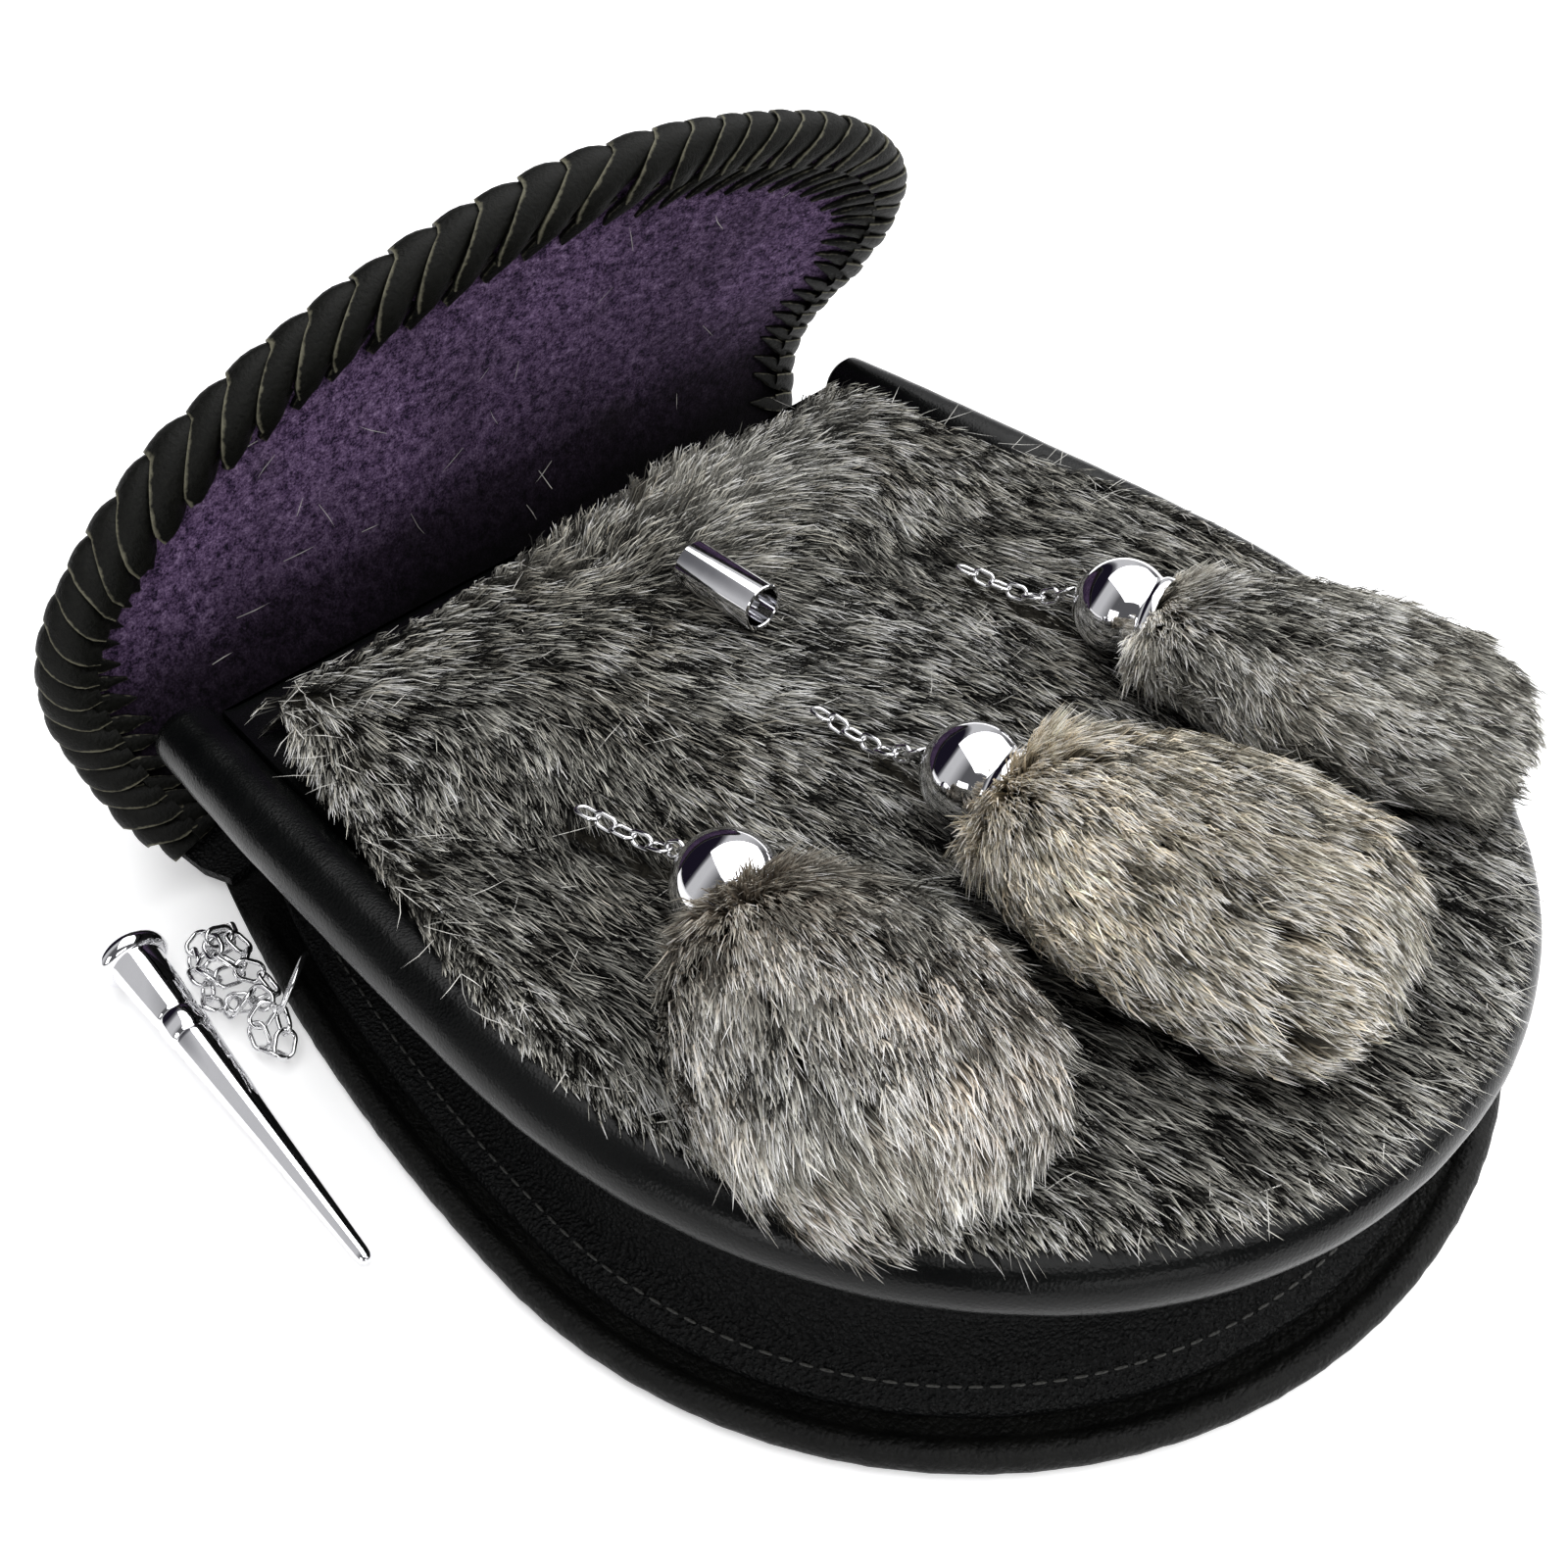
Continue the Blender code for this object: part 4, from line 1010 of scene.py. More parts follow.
def flap_sheet(name, node, rows, inset, lift, thick, slot_name, look, sag):
    """A sheet of even thickness over the flap, softly uneven, with rows closer together at its end."""
    chance = np.random.default_rng(SEED + 3)
    columns = 60
    waves = chance.uniform(-1, 1, (6, 4))
    sheets = []
    for side in (lift, lift + thick):
        layer = []
        for v in rows:
            half = flap_half_width(v) - inset
            for column in range(columns):
                u = half * (2.0 * column / (columns - 1) - 1.0)
                soft = 0.0
                for a, b, c, d in waves:
                    soft += math.sin(u * 90 * a + v * 110 * b + 6 * c) * d
                layer.append(flap_middle(u, v) + flap_normal(u, v) * (side + soft * sag / 3))
        sheets.append(np.array(layer))
    size = columns * len(rows)
    faces = []
    for row in range(len(rows) - 1):
        for column in range(columns - 1):
            first = row * columns + column
            quad = (first, first + 1, first + columns + 1, first + columns)
            faces.append(quad)
            faces.append(tuple(index + size for index in quad))
    edge = list(range(columns))
    edge += [row * columns + columns - 1 for row in range(1, len(rows))]
    edge += [size - 1 - column for column in range(1, columns)]
    edge += [row * columns for row in range(len(rows) - 2, 0, -1)]
    for index, first in enumerate(edge):
        after = edge[(index + 1) % len(edge)]
        faces.append((first, after, after + size, first + size))
    mesh = mesh_of(name, np.concatenate(sheets), faces)
    add_piece(name, mesh, [node], slot_name, look, 60)


def build_flap(leather, lining):
    lap = list(np.linspace(-FLAP_LAP, -0.2 * FLAP_LAP, 4))
    face = list(FLAP_LENGTH * (0.058 + 0.93 * np.sin(np.linspace(0, math.pi / 2, 56)) ** 1.15))
    inner = [v for v in face if v < 0.957 * FLAP_LENGTH]
    flap_sheet(
        "flap_leather", "flap", lap + face, FLAP_INSET, -FLAP_LEATHER, FLAP_LEATHER,
        "black_leather", leather, 0.1 * MM,
    )
    flap_sheet(
        "flap_suede", "flap_lining", inner, LINING_INSET, LINING_CLEAR, LINING_THICK,
        "purple_suede", lining, 0.1 * MM,
    )


def flap_edge_frames(count):
    """Even steps round the flap's edge: place, way out, lining's side, (u, v), its way in, and length."""
    angle = np.linspace(0, math.pi / 2, 161)
    power = 2 / FLAP_POWER
    side = np.linspace(LACE_FROM, FLAP_WIDEST_AT, 80, endpoint=False)
    end = FLAP_WIDEST_AT + (FLAP_LENGTH - FLAP_WIDEST_AT) * np.sin(angle) ** power
    v = np.concatenate([side, end])
    half = [flap_half_width(value) for value in side]
    half += list(FLAP_HALF * np.maximum(np.cos(angle), 0) ** power)
    half[-1] = 0.0
    line = [(-u, w) for u, w in zip(half, v)] + list(zip(half, v))[-2::-1]
    fine = np.array([np.concatenate([flap_middle(u, w), flap_normal(u, w), (u, w)]) for u, w in line])
    run = np.concatenate([[0.0], np.cumsum(np.linalg.norm(np.diff(fine[:, :3], axis=0), axis=1))])
    want = np.linspace(0.0, run[-1], count)
    even = np.stack([np.interp(want, run, column) for column in fine.T], axis=1)
    place, normal, flat = even[:, :3], even[:, 3:6], even[:, 6:]
    along = np.gradient(place, axis=0)
    for _ in range(3):
        along[1:-1] = (along[:-2] + 2 * along[1:-1] + along[2:]) / 4
    along /= np.linalg.norm(along, axis=1)[:, None]
    out = np.cross(normal, along)
    out /= np.linalg.norm(out, axis=1)[:, None]
    heading = unit(np.gradient(flat, axis=0))
    inward = np.stack([heading[:, 1], -heading[:, 0]], axis=1)
    return place, out, normal, flat, inward, run[-1]


def build_lacing(look):
    """Broad laces wound round the flap's edge, and the pointed stitches inside them."""
    chance = np.random.default_rng(SEED + 4)
    fine = 1200
    place, out, normal, flat, inward, length = flap_edge_frames(fine)
    points, faces, raw = [], [], []

    def at(run, across, lift):
        """A point by its distance along the edge, how far out of it and to the lining's side."""
        where = min(max(run / length, 0.0), 1.0) * (fine - 1)
        index = min(int(where), fine - 2)
        part = where - index
        base = place[index] * (1 - part) + place[index + 1] * part
        return base + out[index] * across + normal[index] * lift

    def inside(run, depth, lift):
        """A point over the lining, by its depth inside the edge and height over the flap's middle."""
        index = int(min(max(run / length, 0.0), 1.0) * (fine - 1))
        u, v = flat[index] + inward[index] * depth
        return flap_middle(u, v) + flap_normal(u, v) * lift

    def strip(sections, thick, edge_raw):
        """A strip through sections of points across it, each with the way outwards."""
        first = len(points)
        across = len(sections[0])
        for section in sections:
            for number, (spot, away) in enumerate(section):
                points.append(spot + away * thick / 2)
                raw.append(edge_raw if number in (0, across - 1) else 0.0)
            for number, (spot, away) in list(enumerate(section))[::-1]:
                points.append(spot - away * thick / 2)
                raw.append(0.0)
        faces.extend(loft_faces(len(sections), 2 * across, first))

    def lace(centre, pitch, broad, slant, from_end):
        """The sections of one lace, from over the lining, round the edge and to behind the leather."""
        width = pitch * chance.uniform(1.22, 1.38)
        crown = (0.6 + 0.5 * broad) * chance.uniform(0.8, 1.2) * MM
        tuck = (1.3 + 0.5 * broad) * chance.uniform(0.8, 1.2) * MM
        ending = min(0.5 + 0.5 * from_end / (9 * MM), 1.0)
        wave, phase = chance.uniform(0.15, 0.5) * MM, chance.uniform(0, math.tau)
        sections = []
        for turn in np.radians(np.linspace(LACE_FRONT_DEG, -LACE_BEHIND_DEG, 15)):
            inner = max(turn / math.radians(LACE_FRONT_DEG), 0.0)
            behind = max(-turn / math.radians(LACE_BEHIND_DEG), 0.0)
            narrow = 1.0 - 0.35 * inner**5 - 0.3 * behind**4
            section = []
            for step in np.linspace(-0.5, 0.5, 7):
                high = tuck * (0.5 - step) + crown * math.cos(math.pi * step) - 0.9 * MM
                reach = (LACE_OUT + LACE_AXIS_IN) * ending + high
                lift = LACE_HALF_THICK * ending + high - 0.3 * MM
                across = -LACE_AXIS_IN + reach * math.cos(turn)
                if abs(turn) > math.pi / 2:
                    across = -LACE_AXIS_IN - (abs(turn) - math.pi / 2) * LACE_END_RUN
                run = centre + step * width * narrow - slant * (inner - 0.4) + 0.1 * slant * behind
                run += wave * math.sin(2.6 * turn + phase)
                spot = at(run, across, lift * math.sin(turn))
                away = spot - at(run, -3.5 * MM, 0.0)
                section.append((spot, away / np.linalg.norm(away)))
            sections.append(section)
        return sections

    def stitch(centre, broad, slant, from_end):
        """The sections of the pointed stitch that leads a lace's end into the lining."""
        deep = STITCH_DEEP * chance.uniform(0.93, 1.05)
        wide = (3.9 + 2.6 * broad) * MM * chance.uniform(0.85, 1.1)
        lean = min(STITCH_LEAN * chance.uniform(0.85, 1.15), 0.4 * from_end)
        sections = []
        for share in np.linspace(0.0, 1.0, 8):
            half = wide / 2 * min(0.1 + share * (1.5 + 1.5 * broad), 1.0)
            depth = deep - (deep - STITCH_NEAR) * share
            lift = LINING_CLEAR + LINING_THICK + (0.3 + 1.7 * share**1.2) * MM
            section = []
            for step in (-1.0, -0.45, 0.45, 1.0):
                bulge = 0.6 * MM * (1 - abs(step)) * min(3 * share, 1.0)
                run = centre - 0.3 * slant - lean * (1 - share) + half * step
                spot = inside(run, depth, lift + bulge)
                away = inside(run, depth, lift + MM) - inside(run, depth, lift)
                section.append((spot, away / np.linalg.norm(away)))
            sections.append(section)
        return sections

    runs, pitches = zip(*LACE_PITCHES)
    centre = 0.5 * pitches[0]
    while centre < length:
        pitch = float(np.interp(centre, runs, pitches))
        broad = min(max((pitch - NARROW_PITCH) / (BROAD_PITCH - NARROW_PITCH), 0.0), 1.0)
        from_end = min(centre, length - centre)
        ease = min(0.2 + from_end / (18 * MM), 1.0)
        slant = pitch * (1.25 + 0.15 * broad) * ease * chance.uniform(0.9, 1.1)
        strip(lace(centre, pitch, broad, slant, from_end), LACE_THICK, 1.0)
        strip(stitch(centre, broad, slant, from_end), STITCH_THICK, STITCH_RAW)
        centre += pitch
    mesh = mesh_of("flap_laces", points, faces)
    mesh.attributes.new("raw_edge", "FLOAT", "POINT").data.foreach_set("value", raw)
    add_piece("flap_laces", mesh, ["flap_lacing"], "lacing_leather", look, 60)


# Metal

def turned_mesh(name, profile, sides, closed):
    """A round piece about its own Z, from (distance down Z, radius)."""
    points, faces = [], []
    rings = []
    for along, radius in profile:
        if radius < 1e-7:
            rings.append([len(points)])
            points.append((0.0, 0.0, -along))
            continue
        rings.append(list(range(len(points), len(points) + sides)))
        for side in range(sides):
            angle = math.tau * side / sides
            points.append((radius * math.cos(angle), radius * math.sin(angle), -along))
    pairs = list(zip(rings, rings[1:]))
    if closed:
        pairs.append((rings[-1], rings[0]))
    for low, high in pairs:
        for side in range(sides):
            after = (side + 1) % sides
            corners = [low[side % len(low)], low[after % len(low)]]
            corners += [high[after % len(high)], high[side % len(high)]]
            faces.append(tuple(dict.fromkeys(corners)))
    return mesh_of(name, points, faces)


def aimed(mesh, start, way):
    """Moves the mesh so that its own -Z points that way from start."""
    turn = way.to_track_quat("-Z", "Y").to_matrix().to_4x4()
    mesh.transform(Matrix.Translation(start) @ turn)
    return mesh


def build_tube(look):
    half = TUBE_LENGTH / 2
    edge = 0.18 * MM
    profile = (
        (-half + edge, TUBE_BORE),
        (-half, TUBE_BORE + edge),
        (-half, TUBE_RADIUS - edge),
        (-half + edge, TUBE_RADIUS),
        (half - edge, TUBE_RADIUS),
        (half, TUBE_RADIUS - edge),
        (half, TUBE_BORE + edge),
        (half - edge, TUBE_BORE),
    )
    middle = mouth_point(0.0, TUBE_DOWN + half, TUBE_HEIGHT)
    mesh = aimed(turned_mesh("closure_tube_chrome", profile, 56, True), middle, Vector((0, -1, 0)))
    add_piece("closure_tube_chrome", mesh, ["closure_tube"], "chrome", look, 30)
    drop = TUBE_HEIGHT - (TUBE_RADIUS + TUBE_BORE) / 2 - FRONT_TOP - GAP
    post = ((0.0, 0.0), (0.0, POST_RADIUS), (drop, POST_RADIUS), (drop, 0.0))
    top = mouth_point(0.0, TUBE_DOWN + half, FRONT_TOP + GAP + drop)
    mesh = aimed(turned_mesh("closure_tube_post", post, 24, False), top, Vector((0, 0, -1)))
    add_piece("closure_tube_post", mesh, ["closure_tube"], "chrome", look, 30)


def build_pin(look):
    profile = [(along * PIN_LENGTH, radius * PIN_HEAD_RADIUS) for along, radius in PIN_PROFILE]
    head = mouth_point(-BACK_OUTLINE[1] - PIN_CLEAR, PIN_DOWN, PIN_HEAD_RADIUS + GAP)
    drop = PIN_HEAD_RADIUS * (1 - PIN_TIP_SHARE)
    turn = math.radians(PIN_TURN_DEG)
    reach = math.sqrt(PIN_LENGTH**2 - drop**2)
    way = Vector((reach * math.sin(turn), -reach * math.cos(turn), -drop))
    mesh = aimed(turned_mesh("closure_pin_chrome", profile, 56, False), head, way)
    add_piece("closure_pin_chrome", mesh, ["closure_pin"], "chrome", look, 35)


def ring_points(radius, wire, steps, sides, pull):
    """A ring about Z as an array (step, side, xyz), pulled out into an oval along X."""
    found = np.zeros((steps, sides, 3))
    for step in range(steps):
        angle = math.tau * (step + 0.5) / steps
        for side in range(sides):
            around = math.tau * side / sides
            out = radius + wire / 2 * math.cos(around)
            x = out * math.cos(angle)
            found[step, side] = (
                x + math.copysign(pull, math.cos(angle)), out * math.sin(angle), wire / 2 * math.sin(around)
            )
    return found


def ring_faces(steps, sides, first):
    faces = []
    for step in range(steps):
        for side in range(sides):
            after, beside = (step + 1) % steps, (side + 1) % sides
            faces.append(
                (
                    first + step * sides + side,
                    first + after * sides + side,
                    first + after * sides + beside,
                    first + step * sides + beside,
                )
            )
    return faces


def smooth_path(points):
    return [Vector(row) for row in spline_rows(np.array([tuple(point) for point in points]), 6)]


def chain_joints(path, pitch):
    """Points at one pitch from each other along a path."""
    fine = []
    for before, after in zip(path, path[1:]):
        for step in range(40):
            fine.append(before.lerp(after, step / 40))
    fine.append(path[-1])
    joints = [fine[0]]
    for point in fine:
        if (point - joints[-1]).length >= pitch:
            joints.append(joints[-1] + (point - joints[-1]).normalized() * pitch)
    return joints


def build_chain(name, node, path, links, first_roll, look, ring=None):
    pitch, wire, width = links
    steps, sides = 22, 8
    round_radius = (width - wire) / 2
    pull = (pitch + wire - LINK_FUSE) / 2 - round_radius
    link = ring_points(round_radius, wire, steps, sides, pull).reshape(-1, 3)
    points, faces = [], []
    joints = chain_joints(path, pitch)
    for number, (start, end) in enumerate(zip(joints, joints[1:])):
        along = (end - start).normalized()
        side = along.cross(Vector((0, 0, 1))).normalized()
        up = side.cross(along)
        turn = Matrix((along, -side, up)).transposed()
        roll = Matrix.Rotation(math.radians(first_roll + 90.0 * number), 3, "X")
        faces += ring_faces(steps, sides, len(points))
        points += list(link @ np.array(turn @ roll).T + np.array((start + end) / 2))
    if ring:
        across = Vector(RING_ACROSS).normalized()
        facing = across.cross(Vector(RING_DEPTH)).normalized()
        turn = Matrix((across, facing.cross(across), facing)).transposed()
        hooked = joints[-1] - along * (RING_WIRE - LINK_FUSE) / 2
        faces += ring_faces(40, 10, len(points))
        body = ring_points(RING_RADIUS, RING_WIRE, 40, 10, 0.0).reshape(-1, 3)
        points += list(body @ np.array(turn).T + np.array(hooked + across * RING_RADIUS))
    add_piece(name, mesh_of(name, points, faces), [node], "steel_chain", look, 80)


def build_pin_chain(look):
    points = []
    for out, down, height in PIN_CHAIN_PATH:
        points.append(mouth_point(-BACK_OUTLINE[1] - out * MM, down * MM, height * MM))
    build_chain("pin_chain_steel", "pin_chain", smooth_path(points), PIN_LINKS, 35.0, look, True)


def build_cap(side, middle, way, look):
    profile = [(-CAP_RADIUS, CAP_HOLE)]
    for degrees in np.linspace(12, 122, 18):
        angle = math.radians(degrees)
        radius = CAP_RADIUS * math.sin(angle)
        profile.append((-CAP_RADIUS * math.cos(angle), radius))
    profile = [row for row in profile if row[1] >= CAP_HOLE and row[0] < 0.54 * CAP_RADIUS]
    profile += [(along * CAP_RADIUS, radius * CAP_RADIUS) for along, radius in CAP_COLLAR]
    profile.append((CAP_WALL - CAP_RADIUS, CAP_HOLE))
    mesh = aimed(turned_mesh(f"tassel_cap_{side}_chrome", profile, 56, True), middle, way)
    add_piece(f"tassel_cap_{side}_chrome", mesh, [f"tassel_cap_{side}"], "chrome", look, 40)


# Fur

def quad_strips(name, spines, sides, widths, colours):
    """Ribbons as one mesh: spines (hair, step, xyz), each ending in a point, with a colour at each step."""
    count, steps = spines.shape[:2]
    left = spines[:, :-1] - sides[:, None, :] * widths[:, :-1, None] / 2
    right = spines[:, :-1] + sides[:, None, :] * widths[:, :-1, None] / 2
    pairs = np.stack([left, right], axis=2).reshape(count, 2 * (steps - 1), 3)
    points = np.concatenate([pairs, spines[:, -1:]], axis=1)
    shade = np.concatenate([np.repeat(colours[:, :-1], 2, axis=1), colours[:, -1:]], axis=1)
    size = 2 * steps - 1
    first = np.arange(count)[:, None] * size
    quads = []
    for step in range(steps - 2):
        quads.append(first + np.array([2 * step, 2 * step + 1, 2 * step + 3, 2 * step + 2]))
    quads = np.stack(quads, axis=1).reshape(-1, 4)
    tips = first + np.array([size - 3, size - 2, size - 1])
    mesh = bpy.data.meshes.new(name)
    mesh.vertices.add(count * size)
    mesh.vertices.foreach_set("co", points.astype(np.float32).ravel())
    loops = np.concatenate([quads.ravel(), tips.ravel()]).astype(np.int32)
    mesh.loops.add(len(loops))
    mesh.loops.foreach_set("vertex_index", loops)
    starts = np.concatenate([np.arange(len(quads)) * 4, len(quads) * 4 + np.arange(len(tips)) * 3])
    mesh.polygons.add(len(starts))
    mesh.polygons.foreach_set("loop_start", starts.astype(np.int32))
    mesh.update(calc_edges=True)
    attribute = mesh.color_attributes.new("hair", "FLOAT_COLOR", "POINT")
    rgba = np.concatenate([shade.reshape(-1, 3), np.ones((count * size, 1))], axis=1)
    attribute.data.foreach_set("color", rgba.astype(np.float32).ravel())
    mesh.polygons.foreach_set("use_smooth", [True] * len(mesh.polygons))
    return mesh


def value_noise(points, size, chance):
    """Smooth random values, about -1 to 1, at points in space."""
    total = np.zeros(len(points))
    for octave in range(3):
        for _ in range(5):
            wave = chance.normal(size=3) * 2.2 / size * 1.8**octave
            total += np.sin(points @ wave + chance.uniform(0, math.tau)) * 0.55**octave
    return total / 3.4


def grow(clumps, per_clump, all_kinds, tint_root, tint_tip, chance, width=HAIR_WIDTH, spread=1.0):
    """Hair in clumps, whose tips draw together. Returns what quad_strips takes.

    clumps holds root, normal, way, length, lift, shade, brown and soft, with one row for each clump.
    """
    root, normal, way = clumps["root"], clumps["normal"], clumps["way"]
    pick = np.repeat(np.arange(len(root)), per_clump)
    count = len(pick)
    normal, way = normal[pick], way[pick]
    across = unit(np.cross(normal, way))
    aside = chance.normal(0, 0.55, count) * CLUMP_ACROSS * spread
    ahead = chance.uniform(-0.5, 0.5, count) * CLUMP_ALONG * 1.2 * spread
    length = clumps["length"][pick] * chance.uniform(0.72, 1.18, count)
    lift = clumps["lift"][pick] * chance.uniform(0.55, 1.25, count)
    gather = chance.uniform(0.35, 0.95, count)
    turn = chance.normal(0, 0.11, count)
    bend = chance.normal(0, 0.07, count)
    start = root[pick] + across * aside[:, None] + way * ahead[:, None]
    spines = []
    for step in HAIR_STEPS:
        forward = length * step * (1 - 0.06 * step)
        sideways = -aside * gather * step + length * (turn * step + bend * step**2)
        rise = lift * (1 - (1 - step) ** HAIR_CURVE - HAIR_DROOP * step**3)
        spines.append(
            start + way * forward[:, None] + across * sideways[:, None] + normal * rise[:, None]
        )
    spines = np.stack(spines, axis=1)
    roll = chance.uniform(-0.9, 0.9, count)
    sides = across * np.cos(roll)[:, None] + normal * np.sin(roll)[:, None]
    thick = width * chance.uniform(0.6, 1.25, count)
    widths = thick[:, None] * np.array(HAIR_TAPER)
    kinds = chance.choice(len(all_kinds), count, p=[share for share, _ in all_kinds])
    tone = chance.normal(0, CLUMP_TONES, len(root))[pick]
    kinds = np.where((tone > CLUMP_ONE_KIND) & (kinds == 2), 0, kinds)
    kinds = np.where((tone < -CLUMP_ONE_KIND) & (kinds == 0), 2, kinds)
    pale = np.array([levels for _, levels in all_kinds])[kinds]
    soft = clumps["soft"][pick][:, None]
    pale = pale * (1 - soft) + np.array(SOFT_HAIR) * soft
    pale = pale * (clumps["shade"][pick] * np.exp(tone * 0.3) * chance.uniform(0.7, 1.35, count))[:, None]
    brown = np.clip(clumps["brown"][pick] + chance.normal(0, 0.18, count), 0, 1)[:, None, None]
    step_tint = np.array((0.0, 0.5, 1.0))[None, :, None]
    plain = np.array(PLAIN_TINT)
    warm = np.array(tint_root) * (1 - step_tint) + np.array(tint_tip) * step_tint
    colours = pale[:, :, None] * (plain * (1 - brown) + warm * brown)
    return spines, sides, widths, np.clip(colours, 0.0, 1.0)


def pelt_outline(extra=0.0, count=300):
    """The pelt's outer line as (x, down), closed along its straight top edge."""
    inset = lambda down: fur_inset(down) + extra
    sides = inset_outline(RIM_OUTLINE, count, inset)
    top_down = FUR_FROM_MOUTH + extra
    kept = sides[sides[:, 1] > top_down + RIM_RADIUS / 4]
    across = np.linspace(kept[-1, 0], kept[0, 0], 60)
    return np.concatenate([kept, np.stack([across, np.full(60, top_down)], axis=1)])


def fur_inset(down):
    ease = np.maximum(0.0, 1.0 - np.asarray(down) / FUR_STRAIGHT) ** 1.3
    return FUR_EDGE_INSET + (FUR_MOUTH_INSET - FUR_EDGE_INSET) * ease


def edge_distance(points, line):
    """How far inside a closed line each point is, below 0 outside, and the way out of the nearest side."""
    after = np.roll(line, -1, axis=0)
    best = np.full(len(points), np.inf)
    out = np.zeros((len(points), 2))
    inside = np.zeros(len(points), bool)
    for a, b in zip(line, after):
        run = b - a
        share = np.clip((points - a) @ run / max(run @ run, 1e-18), 0, 1)
        reach = points - (a + share[:, None] * run)
        far = np.linalg.norm(reach, axis=1)
        nearer = far < best
        best = np.where(nearer, far, best)
        out[nearer] = -reach[nearer] / np.maximum(far[nearer], 1e-9)[:, None]
        crosses = (a[1] > points[:, 1]) != (b[1] > points[:, 1])
        if abs(b[1] - a[1]) > 1e-12:
            at = a[0] + (points[:, 1] - a[1]) / (b[1] - a[1]) * run[0]
            inside ^= crosses & (points[:, 0] < at)
    return np.where(inside, best, -best), out


def bells(flat, table):
    """For each place in a pelt table, its pull on each (x, down), from 0 to 1, and its last column."""
    for x, down, reach, amount in table:
        far = ((flat - (x * MM, down * MM)) ** 2).sum(axis=1)
        yield np.exp(-far / (2 * (reach * MM) ** 2)), amount


def lie(flat, near_edge, out):
    """The way the pelt's hair lies at each (x, down), as (x, down) unit vectors."""
    plain = math.radians(FUR_LIE)
    total = np.tile((math.sin(plain), math.cos(plain)), (len(flat), 1)) * 0.30
    for weight, degrees in bells(flat, FUR_SWIRLS):
        angle = math.radians(degrees)
        total += weight[:, None] * np.array((math.sin(angle), math.cos(angle)))
    total = unit(total)
    push = np.where(out[:, 1] < -0.7, 0.9, 0.35)
    return unit(total + out * (push * np.exp(-near_edge / (4.5 * MM)))[:, None])


def under_tassels(flat):
    """Whether each (x, down) is well under a tassel, where less hair is needed."""
    hidden = np.zeros(len(flat), bool)
    for _, x, down, turn_deg, _, wide, _, length, _, _ in TASSELS:
        turn = math.radians(turn_deg)
        way = np.array((math.sin(turn), math.cos(turn)))
        side = np.array((way[1], -way[0]))
        local = flat - (x, down)
        along = local @ way - CAP_RADIUS - length / 2
        aside = local @ side
        hidden |= (along / (0.45 * length)) ** 2 + (aside / (wide * TASSEL_HALF * 0.8)) ** 2 < 1
    return hidden


def pelt_clumps(chance):
    """The clumps of the pelt's face, and after them those of its edge."""
    line = pelt_outline()
    low, high = line.min(axis=0), line.max(axis=0)
    xs = np.arange(low[0], high[0], CLUMP_ACROSS)
    downs = np.arange(low[1], high[1], CLUMP_ALONG)
    grid = np.stack(np.meshgrid(xs, downs), axis=-1).reshape(-1, 2)
    flat = grid + chance.uniform(-0.5, 0.5, grid.shape) * (CLUMP_ACROSS * 1.6, CLUMP_ALONG * 1.2)
    near, out = edge_distance(flat, line)
    keep = (near > 0.5 * MM) & ~(under_tassels(flat) & (chance.random(len(flat)) < 0.6))
    flat, near, out = flat[keep], near[keep], out[keep]
    way = lie(flat, near, out)
    swirl = value_noise(placed(flat, 0.0), 16 * MM, chance) * 0.30
    way = unit(np.stack([way[:, 0] + way[:, 1] * swirl, way[:, 1] - way[:, 0] * swirl], axis=1))
    top = pelt_height(near)
    count = len(flat)
    edge = np.exp(-near / (3.5 * MM))
    tufts = tuft_share(flat)
    chain_press_and_shade = under_chains(flat)
    shorter = (1 - 0.62 * edge) * (1 + 0.3 * tufts) * (1 - 0.5 * chain_press_and_shade)
    clumps = {
        "root": placed(flat, top - ROOT_DEPTH),
        "way": unit(np.stack([way[:, 0], -way[:, 1], -0.25 * edge], axis=1)),
        "normal": np.tile((0.0, 0.0, 1.0), (count, 1)),
        "length": chance.uniform(8.5, 13.0, count) * MM * shorter,
        "lift": chance.uniform(1.7, 4.0, count) * MM * (1 + 0.9 * tufts) * (1 - 0.75 * chain_press_and_shade),
        # Painted shade: the hair under the tassel chains is made darker.
        "shade": patch_shade(flat, chance) * (1 - 0.55 * chain_press_and_shade),
        "soft": np.clip(0.4 * tufts - 0.08, 0, 0.4),
        "brown": np.clip(0.15 + 0.25 * value_noise(placed(flat, 0.0), 20 * MM, chance), 0, 1),
    }
    for row in edge_clumps(line, chance):
        clumps = {key: np.concatenate([clumps[key], row[key]]) for key in clumps}
    return clumps


